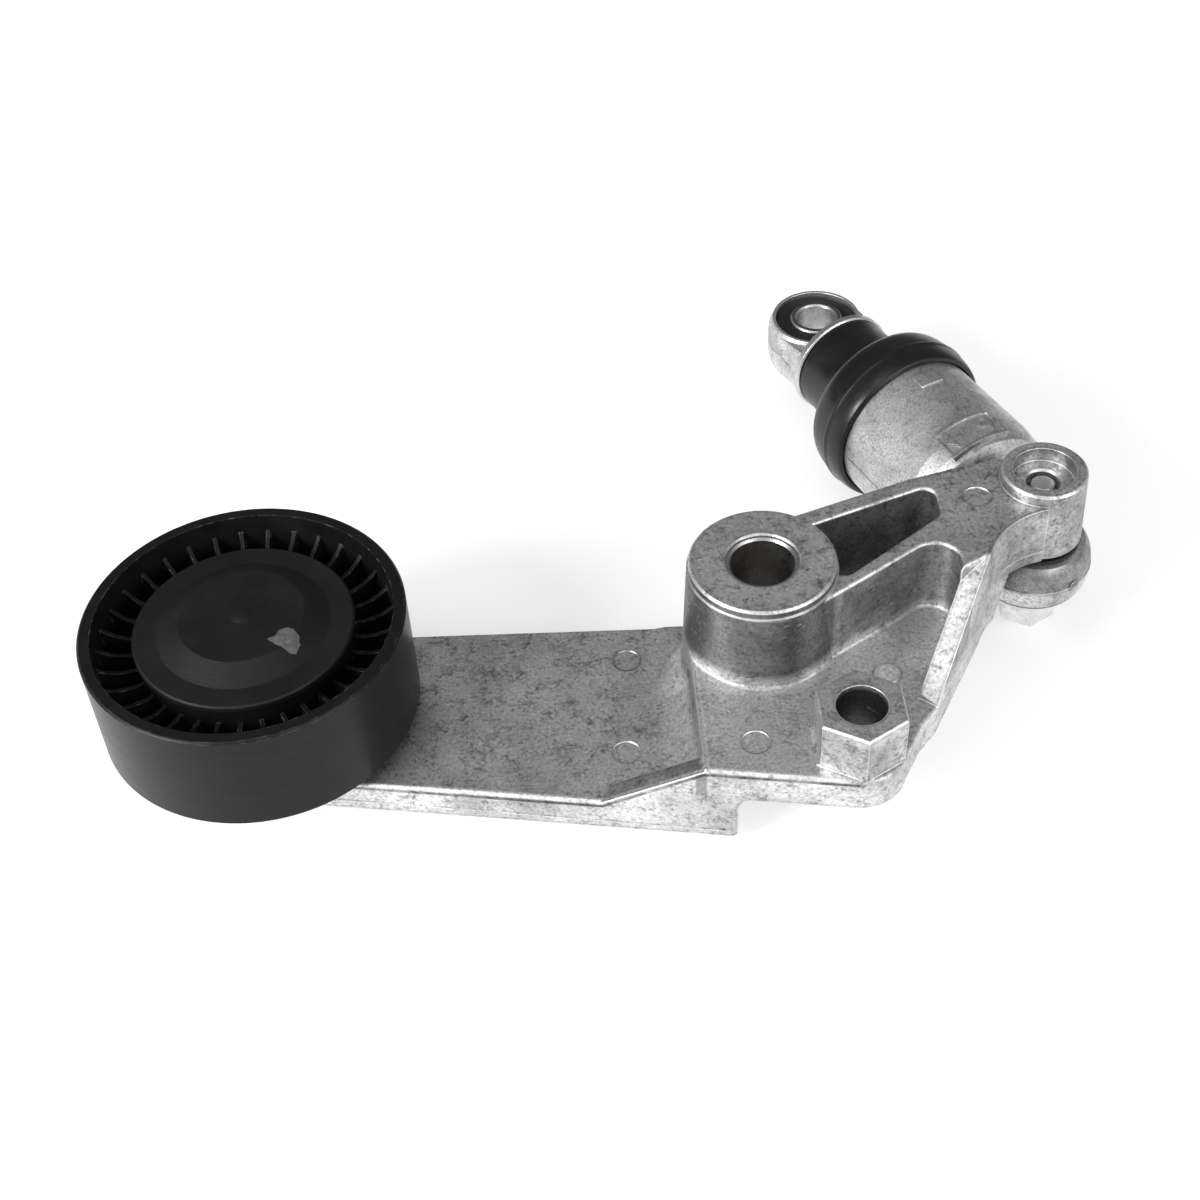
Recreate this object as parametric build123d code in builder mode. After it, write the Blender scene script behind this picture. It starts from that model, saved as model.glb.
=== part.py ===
from build123d import *
from math import cos, radians, sin, sqrt
import os

# ---------------------------------------------------------------- driving dimensions (mm)
# The origin is on the pivot bore's axis at the boss's engine-side face.
# +Z runs along the pivot towards the pulley's front, and +X runs from the pulley to the pivot.

# cast arm
CENTRE_DISTANCE = 120.4      # pulley axis to pivot axis
BAR_BOTTOM, BAR_TOP = 3.5, 12.2
PLATE_BOTTOM, PLATE_TOP = 17.0, 26.0
TRUSS_TOP = 46.6
BAR_END_R = 22.0             # rounded end of the bar, round the pulley axis
BAR_END_X = -10.0            # heel of the bar under the plate
HEEL_FILLET, HEEL_CORNER = 3.4, 1.5
STEP_X = -17.4               # wall where the plate steps up from the bar
SEAT_R = 12.0                # boss that the bearing's inner ring stands on
BOSS_R, BOSS_TOP_R, BOSS_TOP = 18.6, 17.1, 49.1
BOSS_BORE_R = 8.5
BUSH_BORE_R = 7.5
HEX_X, HEX_Y = 17.6, -37.4   # boss that a 19 mm wrench turns
HEX_FLATS, HEX_TOP = 19.0, 39.1
HEX_PAD_R, HEX_HOLE_R = 11.0, 5.8
NECK_BOTTOM = 29.8           # underside of the neck, over the damper's lower eye
CLEVIS_R, CLEVIS_FOOT_R, CLEVIS_TOP = 10.25, 10.9, 49.6
CLEVIS_RECESS_R, CLEVIS_RECESS = 7.5, 3.8
EYE_CLEARANCE_R = 17.2       # room cut in the arm round the lower eye, widening downwards
EYE_CLEARANCE_DRAFT = 0.30
POCKET_FLOOR = 20.0
STEP_FILLET, EDGE_FILLET, FOOT_FILLET = 8.0, 1.0, 1.0
GUSSET = 5.0                 # rib that rises along the front wall to the step
UNDERSIDE_POCKET = 3.8       # depth of the two hollows under the bar
EJECTOR_R, EJECTOR_DEPTH = 3.3, 0.25
RUN_GAP = 0.03               # radial gap of a seated or running fit

# pulley
PULLEY_R, PULLEY_WIDTH, PULLEY_BOTTOM = 38.0, 28.2, 14.4
RIM_WALL, WEB_BOTTOM, WEB_THICK = 3.0, 26.6, 3.0
HUB_R = 25.2
RIB_COUNT, RIB_THICK, RIB_TURN = 33, 1.0, -2.1
RIB_DROP_RIM, RIB_DROP_HUB = 4.0, 7.5
CAP_R, CAP_THICK = 25.8, 1.6

# deep-groove ball bearing, 17 x 40 x 12
BEARING_BORE_R, BEARING_R, BEARING_WIDTH = 8.5, 20.0, 12.0
BEARING_BOTTOM = 21.5
BALL_COUNT, BALL_R, PITCH_R = 8, 3.375, 14.25
INNER_LAND_R, OUTER_LAND_R = 12.2, 16.9

# damper, laid out along its own axis from the lower eye's centre
DAMPER_X, DAMPER_Y, DAMPER_Z = 70.0, 23.2, 23.6
DAMPER_ANGLE = 114.6         # direction of the damper's axis, from +X towards +Y
EYE_TO_EYE = 99.6
LOWER_EYE_DROP = 2.0         # the lower eye sits this far below the damper's axis
LOWER_EYE_HALF, TOP_EYE_HALF = 6.4, 7.2
LOWER_EYE_R, LOWER_EYE_BORE = 14.1, 10.2
TOP_EYE_R, TOP_EYE_BORE = 13.0, 11.2
LOWER_SLEEVE_R, LOWER_SLEEVE_HALF = 6.5, 8.2
TOP_SLEEVE_R, TOP_SLEEVE_BORE, TOP_SLEEVE_HALF = 7.1, 5.2, 7.2
HOUSING_R, HOUSING_END, HOUSING_BORE = 20.3, 58.0, 16.6
HOUSING_FLOOR, CYLINDER_SEAT = 27.0, 19.5
CYLINDER_R, CYLINDER_BORE, CYLINDER_END = 9.5, 7.5, 50.0
ROD_R = 4.5
PISTON_START, PISTON_LENGTH = 39.9, 10.0
FLANGE_START, FLANGE_THICK, FLANGE_R = 85.6, 2.2, 14.5
SPRING_R, SPRING_WIRE, SPRING_TURNS = 10.0, 2.8, 4.5
BOLT_R = 4.0                 # M8 bolt through the lower eye
BOLT_TIP_R, BOLT_TIP = 2.9, 3.0

os.makedirs("parts", exist_ok=True)

PULLEY_X = -CENTRE_DISTANCE
PULLEY_TOP = PULLEY_BOTTOM + PULLEY_WIDTH
BEARING_TOP = BEARING_BOTTOM + BEARING_WIDTH
BEARING_MID = BEARING_BOTTOM + BEARING_WIDTH / 2
ALONG = (cos(radians(DAMPER_ANGLE)), sin(radians(DAMPER_ANGLE)), 0)
ACROSS = (ALONG[1], -ALONG[0], 0)
EYE = (DAMPER_X, DAMPER_Y, DAMPER_Z)
LOWER_EYE = (DAMPER_X, DAMPER_Y, DAMPER_Z - LOWER_EYE_DROP)
TOP_EYE = (DAMPER_X + EYE_TO_EYE * ALONG[0], DAMPER_Y + EYE_TO_EYE * ALONG[1], DAMPER_Z)

pulley_axis = Axis((PULLEY_X, 0, 0), (0, 0, 1))
damper_axis = Axis(EYE, ALONG)
pulley_section = Plane(origin=(PULLEY_X, 0, 0), x_dir=(1, 0, 0), z_dir=(0, -1, 0))
damper_section = Plane(origin=EYE, x_dir=ALONG, z_dir=(0, 0, 1))
lower_eye_section = Plane(origin=LOWER_EYE, x_dir=ALONG, z_dir=ACROSS)
top_eye_section = Plane(origin=TOP_EYE, x_dir=ALONG, z_dir=ACROSS)
lower_eye_plane = Plane(origin=LOWER_EYE)
top_eye_plane = Plane(origin=TOP_EYE)


def damper_plane(along):
    """Plane across the damper's axis, at a distance along it from the lower eye's centre."""
    return Plane(origin=damper_axis.position + damper_axis.direction * along, x_dir=ACROSS, z_dir=ALONG)


def turned_damper_section(angle):
    """Plane through the damper's axis, with its second direction turned from straight up."""
    lift = (sin(radians(angle)) * ACROSS[0], sin(radians(angle)) * ACROSS[1], cos(radians(angle)))
    return Plane(origin=EYE, x_dir=ALONG, z_dir=Vector(*ALONG).cross(Vector(*lift)))


# ---------------------------------------------------------------- cast arm
def on_circle(x, y, radius, angle):
    return (x + radius * cos(radians(angle)), y + radius * sin(radians(angle)))


FRONT_ANGLE = -100.7         # outward direction of the straight front wall
BACK_ANGLE = 87.0            # outward direction of the bar's back wall
front_start = on_circle(PULLEY_X, 0, BAR_END_R, FRONT_ANGLE)
back_start = on_circle(PULLEY_X, 0, BAR_END_R, BACK_ANGLE)
front_end = on_circle(HEX_X, HEX_Y, HEX_PAD_R, FRONT_ANGLE)
front_slope = (front_end[1] - front_start[1]) / (front_end[0] - front_start[0])
plate_corner = on_circle(HEX_X, HEX_Y, HEX_PAD_R, -18)


def on_front(x, inset=0):
    """Point of the arm's front wall at x, or that far inside it."""
    return (x, front_start[1] + front_slope * (x - front_start[0]) + inset)


rib3_foot, rib3_head = (37.0, -28.2), (52.6, -0.8)
window_start, window_end = (36.5, 3.0), (44.9, -5.1)
clevis_front = (DAMPER_X - 1.0, DAMPER_Y - CLEVIS_FOOT_R)
clevis_back = (DAMPER_X - 5.0, DAMPER_Y + 9.2)
back_wall = [(50.0, 29.8), (38.1, 26.8), (23.5, 21.8), (9.0, 16.8)]
rib3_rise = Plane(origin=(48.0, 0.0, 0.0), x_dir=(-13.5, -26.0, 0), z_dir=(-26.0, 13.5, 0))

with BuildPart() as arm:
    # rib beside the hex, whose top slopes from the truss down to the plate
    with BuildSketch(Plane.XY.offset(PLATE_BOTTOM)):
        with BuildLine():
            Polyline((50.0, 2.0), window_end, (33.3, -25.0), rib3_foot, rib3_head, (50.0, 6.0), close=True)
        make_face()
    extrude(amount=TRUSS_TOP - PLATE_BOTTOM)
    with BuildSketch(rib3_rise):
        with BuildLine():
            Polyline((-1.0, TRUSS_TOP), (-1.0, 60.0), (40.0, 60.0), (40.0, 25.9), (30.4, 25.9), (27.8, 28.74),
                     close=True)
        make_face()
    extrude(amount=20, both=True, mode=Mode.SUBTRACT)

    # truss with its pocket, from the pivot boss to the clevis boss
    with BuildSketch(Plane.XY.offset(PLATE_BOTTOM)):
        with BuildLine():
            ThreePointArc(rib3_head, (57.6, 6.6), clevis_front)
            Polyline(clevis_front, (DAMPER_X, DAMPER_Y), clevis_back, *back_wall, (0.0, 0.0))
            Polyline((0.0, 0.0), (9.5, -14.3), window_start)
            ThreePointArc(window_start, (43.9, 2.3), window_end)
            Line(window_end, rib3_head)
        make_face()
    extrude(amount=TRUSS_TOP - PLATE_BOTTOM)
    with BuildSketch(Plane.XY.offset(POCKET_FLOOR)) as pocket:
        with BuildLine():
            Polyline((10.0, 12.0), (43.7, 24.1), (43.7, 13.6), (19.3, -4.3), (11.0, -2.0), close=True)
        make_face()
        fillet(pocket.vertices().sort_by(Axis.X)[-3:], radius=3.0)
    extrude(amount=TRUSS_TOP, mode=Mode.SUBTRACT)

    # raised plate round the hex
    with BuildSketch(Plane.XY.offset(PLATE_BOTTOM)):
        with BuildLine():
            Line(on_front(STEP_X), front_end)
            ThreePointArc(front_end, on_circle(HEX_X, HEX_Y, HEX_PAD_R, -60), plate_corner)
            Polyline(plate_corner, (32.4, -33.5), rib3_foot, rib3_head, (40.0, 20.0))
            Polyline((40.0, 20.0), (10.0, 14.0), (STEP_X, 14.0), on_front(STEP_X))
        make_face()
    extrude(amount=PLATE_TOP - PLATE_BOTTOM)
    with BuildSketch(Plane.XY.offset(POCKET_FLOOR)):
        add(pocket.sketch)
    extrude(amount=PLATE_TOP, mode=Mode.SUBTRACT)

    # bar from the pulley to the pivot
    with BuildSketch(Plane.XY.offset(BAR_BOTTOM)):
        with BuildLine():
            Line(front_start, on_front(BAR_END_X))
            Polyline(on_front(BAR_END_X), (BAR_END_X + 2, -15.0), (-4.0, 15.6), back_start)
            ThreePointArc(back_start, (PULLEY_X - BAR_END_R, 0), front_start)
        make_face()
    extrude(amount=BAR_TOP - BAR_BOTTOM)
    with BuildSketch(Plane.XY.offset(BAR_BOTTOM)):
        with BuildLine():
            Polyline(on_front(STEP_X), on_front(BAR_END_X), (BAR_END_X + 2, -15.0), (-4.0, 15.6),
                     (STEP_X, 16.4), close=True)
        make_face()
    extrude(amount=PLATE_TOP - BAR_BOTTOM)
    heel_edges = arm.edges().filter_by_position(Axis.Y, -46, -20).filter_by(
        lambda edge: edge.length > 10 and abs(edge.center().X - BAR_END_X - 1) < 1)
    fillet(heel_edges.filter_by_position(Axis.Z, PLATE_BOTTOM, PLATE_BOTTOM), radius=HEEL_FILLET)
    heel_edges = arm.edges().filter_by_position(Axis.Z, BAR_BOTTOM, BAR_BOTTOM).filter_by(
        lambda edge: edge.length > 10 and abs(edge.center().X - BAR_END_X - 1) < 1)
    fillet(heel_edges.filter_by_position(Axis.Y, -46, -20), radius=HEEL_CORNER)
    plate_edges = arm.edges().filter_by_position(Axis.Z, PLATE_TOP, PLATE_TOP)
    fillet(plate_edges.filter_by_position(Axis.Y, -60, -29), radius=EDGE_FILLET)

    # two hollows under the bar, with a rib between them
    with BuildSketch(Plane.XY.offset(BAR_BOTTOM)) as hollows:
        with BuildLine():
            Polyline(on_front(-98, 5), on_front(-25, 5), (-25, -4), (-98, -4), close=True)
        make_face()
        with BuildLine():
            Polyline((-98, 0), (-25, 0), (-25, 12.0), (-98, 16.2), close=True)
        make_face()
        fillet(hollows.vertices(), radius=3.0)
    extrude(amount=UNDERSIDE_POCKET, mode=Mode.SUBTRACT)

    # room for the damper's lower eye under the neck
    clearance_foot = DAMPER_X - EYE_CLEARANCE_R - EYE_CLEARANCE_DRAFT * NECK_BOTTOM
    with BuildSketch(Plane.XZ.offset(-DAMPER_Y)):
        with BuildLine():
            Polyline((DAMPER_X, 0), (clearance_foot, 0), (DAMPER_X - EYE_CLEARANCE_R, NECK_BOTTOM),
                     (DAMPER_X, NECK_BOTTOM), close=True)
        make_face()
    revolve(axis=Axis((DAMPER_X, DAMPER_Y, 0), (0, 0, 1)), mode=Mode.SUBTRACT)

    # pivot boss, clevis boss and pulley seat
    with BuildSketch(Plane.XZ):
        with BuildLine():
            Polyline((0, 0), (17.4, 0), (18.2, 0.8), (BOSS_R, PLATE_TOP), (17.5, TRUSS_TOP + 0.3),
                     (BOSS_TOP_R, TRUSS_TOP + 0.3), (BOSS_TOP_R, BOSS_TOP - 0.5),
                     (BOSS_TOP_R - 0.5, BOSS_TOP), (0, BOSS_TOP), close=True)
        make_face()
    revolve(axis=Axis.Z)
    with BuildSketch(Plane.XZ.offset(-DAMPER_Y)):
        with BuildLine():
            Polyline((DAMPER_X, NECK_BOTTOM), (DAMPER_X + CLEVIS_FOOT_R - 0.6, NECK_BOTTOM),
                     (DAMPER_X + CLEVIS_FOOT_R, NECK_BOTTOM + 0.6), (DAMPER_X + CLEVIS_R, CLEVIS_TOP - 0.5),
                     (DAMPER_X + CLEVIS_R - 0.5, CLEVIS_TOP), (DAMPER_X, CLEVIS_TOP), close=True)
        make_face()
    revolve(axis=Axis((DAMPER_X, DAMPER_Y, 0), (0, 0, 1)))
    with BuildSketch(Plane.XY.offset(BAR_TOP)):
        with Locations((PULLEY_X, 0)):
            Circle(SEAT_R)
    extrude(amount=BEARING_BOTTOM - BAR_TOP)

    # hex boss
    with BuildSketch(Plane.XY.offset(PLATE_TOP - 2)):
        with Locations((HEX_X, HEX_Y)):
            RegularPolygon(HEX_FLATS / 2, 6, major_radius=False, rotation=30)
    extrude(amount=HEX_TOP - PLATE_TOP + 2)
    chamfer(arm.edges().filter_by_position(Axis.Z, HEX_TOP, HEX_TOP)
            .filter_by_position(Axis.Y, -60, -20), length=0.4)

    # gusset rib along the front wall
    gusset_run = STEP_X + 40.6
    gusset_plane = Plane(origin=(*on_front(-40.6), 0), x_dir=(1, front_slope, 0), z_dir=(front_slope, -1, 0))
    with BuildSketch(gusset_plane):
        with BuildLine():
            Polyline((0, BAR_TOP - 1), (0, BAR_TOP), (gusset_run + 1, PLATE_TOP),
                     (gusset_run + 1, BAR_TOP - 1), close=True)
        make_face()
    extrude(amount=-GUSSET)

    # large fillet at the foot of the step, and rounded casting edges
    bar_edges = arm.edges().filter_by_position(Axis.Z, BAR_TOP, BAR_TOP)
    fillet(bar_edges.filter_by_position(Axis.X, STEP_X - 2, STEP_X + 0.1), radius=STEP_FILLET)
    bar_edges = arm.edges().filter_by_position(Axis.Z, BAR_TOP, BAR_TOP)
    fillet(bar_edges.filter_by_position(Axis.X, PULLEY_X - 30, -30).filter_by(lambda edge: edge.length > 10),
           radius=EDGE_FILLET)
    truss_edges = arm.edges().filter_by_position(Axis.Z, TRUSS_TOP, TRUSS_TOP).filter_by(GeomType.LINE)
    fillet(truss_edges.filter_by(lambda edge: edge.length > 1), radius=0.9)

    # corner behind the boss, where the step ends against the boss's wall
    with BuildSketch(Plane.XY.offset(BAR_TOP)):
        with BuildLine():
            Polyline((-32.0, -8.0), (-25.6, -6.0), (-22.9, 4.0), (-17.0, 7.5), (-8.0, 12.0), (-8.0, 24.0),
                     (-32.0, 24.0), close=True)
        make_face()
        Circle(BOSS_R, mode=Mode.SUBTRACT)
    extrude(amount=PLATE_TOP, mode=Mode.SUBTRACT)

    # raised pip on the plate
    with BuildSketch(Plane.XY.offset(PLATE_TOP)):
        with Locations((27.2, -17.2)):
            Circle(3.0)
    extrude(amount=0.6)

    # shallow ejector-pin marks
    with BuildSketch(Plane.XY.offset(BAR_TOP)):
        with Locations((-32.1, 6.2), (-34.1, -23.0)):
            Circle(EJECTOR_R)
    extrude(amount=-EJECTOR_DEPTH, mode=Mode.SUBTRACT)
    with BuildSketch(Plane.XY.offset(PLATE_TOP)):
        with Locations((-5.2, -34.5)):
            Circle(EJECTOR_R)
    extrude(amount=-EJECTOR_DEPTH, mode=Mode.SUBTRACT)
    with BuildSketch(Plane.XY.offset(TRUSS_TOP)):
        with Locations((53.2, 18.7)):
            Circle(EJECTOR_R)
    extrude(amount=-EJECTOR_DEPTH, mode=Mode.SUBTRACT)

    # fillets round the pivot boss, the window's ribs and the hex, where they stand on the plate
    foot_edges = arm.edges().filter_by_position(Axis.Z, PLATE_TOP, PLATE_TOP)
    fillet(foot_edges.filter_by_position(Axis.X, -5, 46).filter_by_position(Axis.Y, -20, 6)
           .filter_by(lambda edge: edge.length > 5 and not edge.is_closed), radius=FOOT_FILLET)
    foot_edges = arm.edges().filter_by_position(Axis.Z, PLATE_TOP, PLATE_TOP)
    fillet(foot_edges.filter_by_position(Axis.X, 8, 26).filter_by_position(Axis.Y, -38, -27),
           radius=FOOT_FILLET)

    # bores and holes
    with BuildSketch(Plane.XY):
        Circle(BOSS_BORE_R)
    extrude(amount=BOSS_TOP, mode=Mode.SUBTRACT)
    chamfer(arm.edges().filter_by_position(Axis.Z, BOSS_TOP, BOSS_TOP).sort_by(SortBy.LENGTH)[0], length=0.4)
    with BuildSketch(Plane.XY):
        with Locations((HEX_X, HEX_Y)):
            Circle(HEX_HOLE_R)
    extrude(amount=HEX_TOP, mode=Mode.SUBTRACT)
    with BuildSketch(Plane.XY):
        with Locations((DAMPER_X, DAMPER_Y)):
            Circle(BOLT_R + RUN_GAP)
    extrude(amount=CLEVIS_TOP, mode=Mode.SUBTRACT)
    with BuildSketch(Plane.XY.offset(CLEVIS_TOP - CLEVIS_RECESS)):
        with Locations((DAMPER_X, DAMPER_Y)):
            Circle(CLEVIS_RECESS_R)
    extrude(amount=CLEVIS_RECESS, mode=Mode.SUBTRACT)
    recess_floor = CLEVIS_TOP - CLEVIS_RECESS
    recess_edges = arm.edges().filter_by_position(Axis.Z, recess_floor, recess_floor)
    chamfer(recess_edges.sort_by(SortBy.LENGTH)[0], length=0.5)
    with BuildSketch(Plane.XY):
        with Locations((PULLEY_X, 0)):
            Circle(5.0 + RUN_GAP)
    extrude(amount=BEARING_BOTTOM, mode=Mode.SUBTRACT)

arm.part.label = "arm"
export_step(arm.part, "parts/arm.step")


# ---------------------------------------------------------------- fixed to the arm
with BuildPart() as pivot_bush:
    with BuildSketch(Plane.XY):
        Circle(BOSS_BORE_R - RUN_GAP)
        Circle(BUSH_BORE_R, mode=Mode.SUBTRACT)
    extrude(amount=BOSS_TOP - 0.6)
    chamfer(pivot_bush.faces().filter_by(GeomType.CYLINDER).sort_by(SortBy.AREA)[0].edges()
            .filter_by(GeomType.CIRCLE), length=0.5)
pivot_bush.part.label = "pivot_bush"
export_step(pivot_bush.part, "parts/pivot_bush.step")

with BuildPart() as pulley_spacer:
    with BuildSketch(Plane.XY.offset(BEARING_BOTTOM)):
        with Locations((PULLEY_X, 0)):
            Circle(BEARING_BORE_R - RUN_GAP)
            Circle(5.0 + RUN_GAP, mode=Mode.SUBTRACT)
    extrude(amount=BEARING_WIDTH)
pulley_spacer.part.label = "pulley_spacer"
export_step(pulley_spacer.part, "parts/pulley_spacer.step")

WASHER_THICK = 1.8
with BuildPart() as pulley_washer:
    with BuildSketch(Plane.XY.offset(BEARING_TOP)):
        with Locations((PULLEY_X, 0)):
            Circle(10.5)
            Circle(5.2, mode=Mode.SUBTRACT)
    extrude(amount=WASHER_THICK)
    chamfer(pulley_washer.edges().group_by(Axis.Z)[-1], length=0.3)
pulley_washer.part.label = "pulley_washer"
export_step(pulley_washer.part, "parts/pulley_washer.step")

HEAD_BOTTOM = BEARING_TOP + WASHER_THICK
with BuildPart() as pulley_bolt:
    with BuildSketch(Plane.XY.offset(HEAD_BOTTOM)):
        with Locations((PULLEY_X, 0)):
            RegularPolygon(8.0, 6, major_radius=False)
    extrude(amount=6.0)
    chamfer(pulley_bolt.edges().group_by(Axis.Z)[-1], length=0.6)
    with BuildSketch(Plane.XY.offset(4.0)):
        with Locations((PULLEY_X, 0)):
            Circle(5.0)
    extrude(amount=HEAD_BOTTOM - 4.0)
    chamfer(pulley_bolt.edges().group_by(Axis.Z)[0], length=0.8)
pulley_bolt.part.label = "pulley_bolt"
export_step(pulley_bolt.part, "parts/pulley_bolt.step")

with BuildPart() as lower_eye_sleeve:
    with BuildSketch(lower_eye_plane.offset(-LOWER_SLEEVE_HALF)):
        Circle(LOWER_SLEEVE_R)
        Circle(BOLT_R + RUN_GAP, mode=Mode.SUBTRACT)
    extrude(amount=2 * LOWER_SLEEVE_HALF)
lower_eye_sleeve.part.label = "lower_eye_sleeve"
export_step(lower_eye_sleeve.part, "parts/lower_eye_sleeve.step")

EYE_WASHER = 2.5
with BuildPart() as damper_bolt_washer:
    with BuildSketch(lower_eye_plane.offset(-LOWER_SLEEVE_HALF - EYE_WASHER)):
        Circle(9.0)
        Circle(BOLT_R + 0.3, mode=Mode.SUBTRACT)
    extrude(amount=EYE_WASHER)
damper_bolt_washer.part.label = "damper_bolt_washer"
export_step(damper_bolt_washer.part, "parts/damper_bolt_washer.step")

collar_top = LOWER_EYE[2] - LOWER_SLEEVE_HALF - EYE_WASHER
bolt_end = CLEVIS_TOP - CLEVIS_RECESS - 0.5
COLLAR, BOLT_HEAD = 1.8, 6.2
with BuildPart() as damper_bolt:
    with BuildSketch(Plane.XY.offset(collar_top - COLLAR - BOLT_HEAD)):
        with Locations((DAMPER_X, DAMPER_Y)):
            RegularPolygon(6.5, 6, major_radius=False, rotation=30)
    extrude(amount=BOLT_HEAD)
    chamfer(damper_bolt.edges().group_by(Axis.Z)[0], length=0.5)
    with BuildSketch(Plane.XY.offset(collar_top - COLLAR)):
        with Locations((DAMPER_X, DAMPER_Y)):
            Circle(8.2)
    extrude(amount=COLLAR)
    with BuildSketch(Plane.XY.offset(collar_top)):
        with Locations((DAMPER_X, DAMPER_Y)):
            Circle(BOLT_R)
    extrude(amount=bolt_end - BOLT_TIP - collar_top)
    chamfer(damper_bolt.edges().group_by(Axis.Z)[-1], length=0.6)
    with BuildSketch(Plane.XY.offset(bolt_end - BOLT_TIP)):
        with Locations((DAMPER_X, DAMPER_Y)):
            Circle(BOLT_TIP_R)
    extrude(amount=BOLT_TIP)
    chamfer(damper_bolt.edges().group_by(Axis.Z)[-1], length=0.4)
damper_bolt.part.label = "damper_bolt"
export_step(damper_bolt.part, "parts/damper_bolt.step")

# ---------------------------------------------------------------- bearing
RACE_R = BALL_R + 0.08       # groove radius of both raceways

with BuildPart() as bearing_inner_ring:
    with BuildSketch(pulley_section):
        with BuildLine():
            Polyline((BEARING_BORE_R, BEARING_BOTTOM), (INNER_LAND_R, BEARING_BOTTOM), (INNER_LAND_R, BEARING_TOP),
                     (BEARING_BORE_R, BEARING_TOP), close=True)
        make_face()
        with Locations((PITCH_R, BEARING_MID)):
            Circle(RACE_R, mode=Mode.SUBTRACT)
    revolve(axis=pulley_axis)
bearing_inner_ring.part.label = "bearing_inner_ring"
export_step(bearing_inner_ring.part, "parts/bearing_inner_ring.step")

with BuildPart() as bearing_outer_ring:
    with BuildSketch(pulley_section):
        with BuildLine():
            Polyline((OUTER_LAND_R, BEARING_BOTTOM), (BEARING_R, BEARING_BOTTOM), (BEARING_R, BEARING_TOP),
                     (OUTER_LAND_R, BEARING_TOP), close=True)
        make_face()
        with Locations((PITCH_R, BEARING_MID)):
            Circle(RACE_R, mode=Mode.SUBTRACT)
    revolve(axis=pulley_axis)
bearing_outer_ring.part.label = "bearing_outer_ring"
export_step(bearing_outer_ring.part, "parts/bearing_outer_ring.step")

with BuildPart() as bearing_balls:
    with Locations(Plane(origin=(PULLEY_X, 0, BEARING_MID))):
        with PolarLocations(PITCH_R, BALL_COUNT):
            Sphere(BALL_R)
bearing_balls.part.label = "bearing_balls"
export_step(bearing_balls.part, "parts/bearing_balls.step")

with BuildPart() as bearing_cage:
    with BuildSketch(Plane.XY.offset(BEARING_MID - 4.2)):
        with Locations((PULLEY_X, 0)):
            Circle(15.6)
            Circle(12.9, mode=Mode.SUBTRACT)
    extrude(amount=8.4)
    with Locations(Plane(origin=(PULLEY_X, 0, BEARING_MID))):
        with PolarLocations(PITCH_R, BALL_COUNT):
            Cylinder(BALL_R + 0.15, 8, rotation=(0, 90, 0), mode=Mode.SUBTRACT)
bearing_cage.part.label = "bearing_cage"
export_step(bearing_cage.part, "parts/bearing_cage.step")

SEAL_THICK = 0.8
for name, bottom in (("bearing_seal_front", BEARING_TOP - 1.2), ("bearing_seal_rear", BEARING_BOTTOM + 0.4)):
    with BuildPart() as bearing_seal:
        with BuildSketch(Plane.XY.offset(bottom)):
            with Locations((PULLEY_X, 0)):
                Circle(OUTER_LAND_R - RUN_GAP)
                Circle(INNER_LAND_R + 0.25, mode=Mode.SUBTRACT)
        extrude(amount=SEAL_THICK)
    bearing_seal.part.label = name
    export_step(bearing_seal.part, f"parts/{name}.step")

# ---------------------------------------------------------------- pulley and its cap
RIM_INNER = PULLEY_R - RIM_WALL
WEB_TOP = WEB_BOTTOM + WEB_THICK
HUB_TOP = PULLEY_TOP - 3.6
HUB_BOTTOM = PULLEY_BOTTOM + 4.0
LIP_R = BEARING_R - 0.9      # lips that hold the bearing's outer ring
CAP_SEAT_R = 22.2

with BuildPart() as pulley:
    # rim, web and hub
    with BuildSketch(pulley_section):
        with BuildLine():
            Polyline((RIM_INNER, PULLEY_BOTTOM), (PULLEY_R - 0.5, PULLEY_BOTTOM),
                     (PULLEY_R, PULLEY_BOTTOM + 0.5),
                     (PULLEY_R, PULLEY_TOP - 0.5), (PULLEY_R - 0.5, PULLEY_TOP), (RIM_INNER, PULLEY_TOP),
                     (RIM_INNER - 0.6, WEB_TOP), (HUB_R + 0.4, WEB_TOP), (HUB_R, HUB_TOP), (CAP_SEAT_R, HUB_TOP),
                     (CAP_SEAT_R, BEARING_TOP + 1.6), (LIP_R, BEARING_TOP + 1.6), (LIP_R, BEARING_TOP),
                     (BEARING_R, BEARING_TOP), (BEARING_R, BEARING_BOTTOM), (LIP_R, BEARING_BOTTOM),
                     (LIP_R, HUB_BOTTOM), (HUB_R, HUB_BOTTOM), (HUB_R + 0.4, WEB_BOTTOM),
                     (RIM_INNER - 0.6, WEB_BOTTOM), close=True)
        make_face()
    revolve(axis=pulley_axis)
    # straight ribs on both sides of the web, lower at the hub than at the rim
    with BuildSketch(pulley_section):
        with BuildLine():
            rim_high = PULLEY_TOP - RIB_DROP_RIM
            hub_high = PULLEY_TOP - RIB_DROP_HUB
            rim_low = PULLEY_BOTTOM + RIB_DROP_RIM
            hub_low = PULLEY_BOTTOM + RIB_DROP_HUB
            Line((RIM_INNER + 0.4, rim_low), (RIM_INNER + 0.4, rim_high))
            ThreePointArc((RIM_INNER + 0.4, rim_high), (31.4, hub_high + 0.6), (HUB_R - 0.2, hub_high))
            Line((HUB_R - 0.2, hub_high), (HUB_R - 0.2, hub_low))
            ThreePointArc((HUB_R - 0.2, hub_low), (31.4, hub_low - 0.6), (RIM_INNER + 0.4, rim_low))
        make_face()
    rib = extrude(amount=RIB_THICK / 2, both=True, mode=Mode.PRIVATE)
    for turn in range(RIB_COUNT):
        add(rib.rotate(pulley_axis, RIB_TURN + turn * 360 / RIB_COUNT))
pulley.part.label = "pulley"
export_step(pulley.part, "parts/pulley.step")

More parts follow.
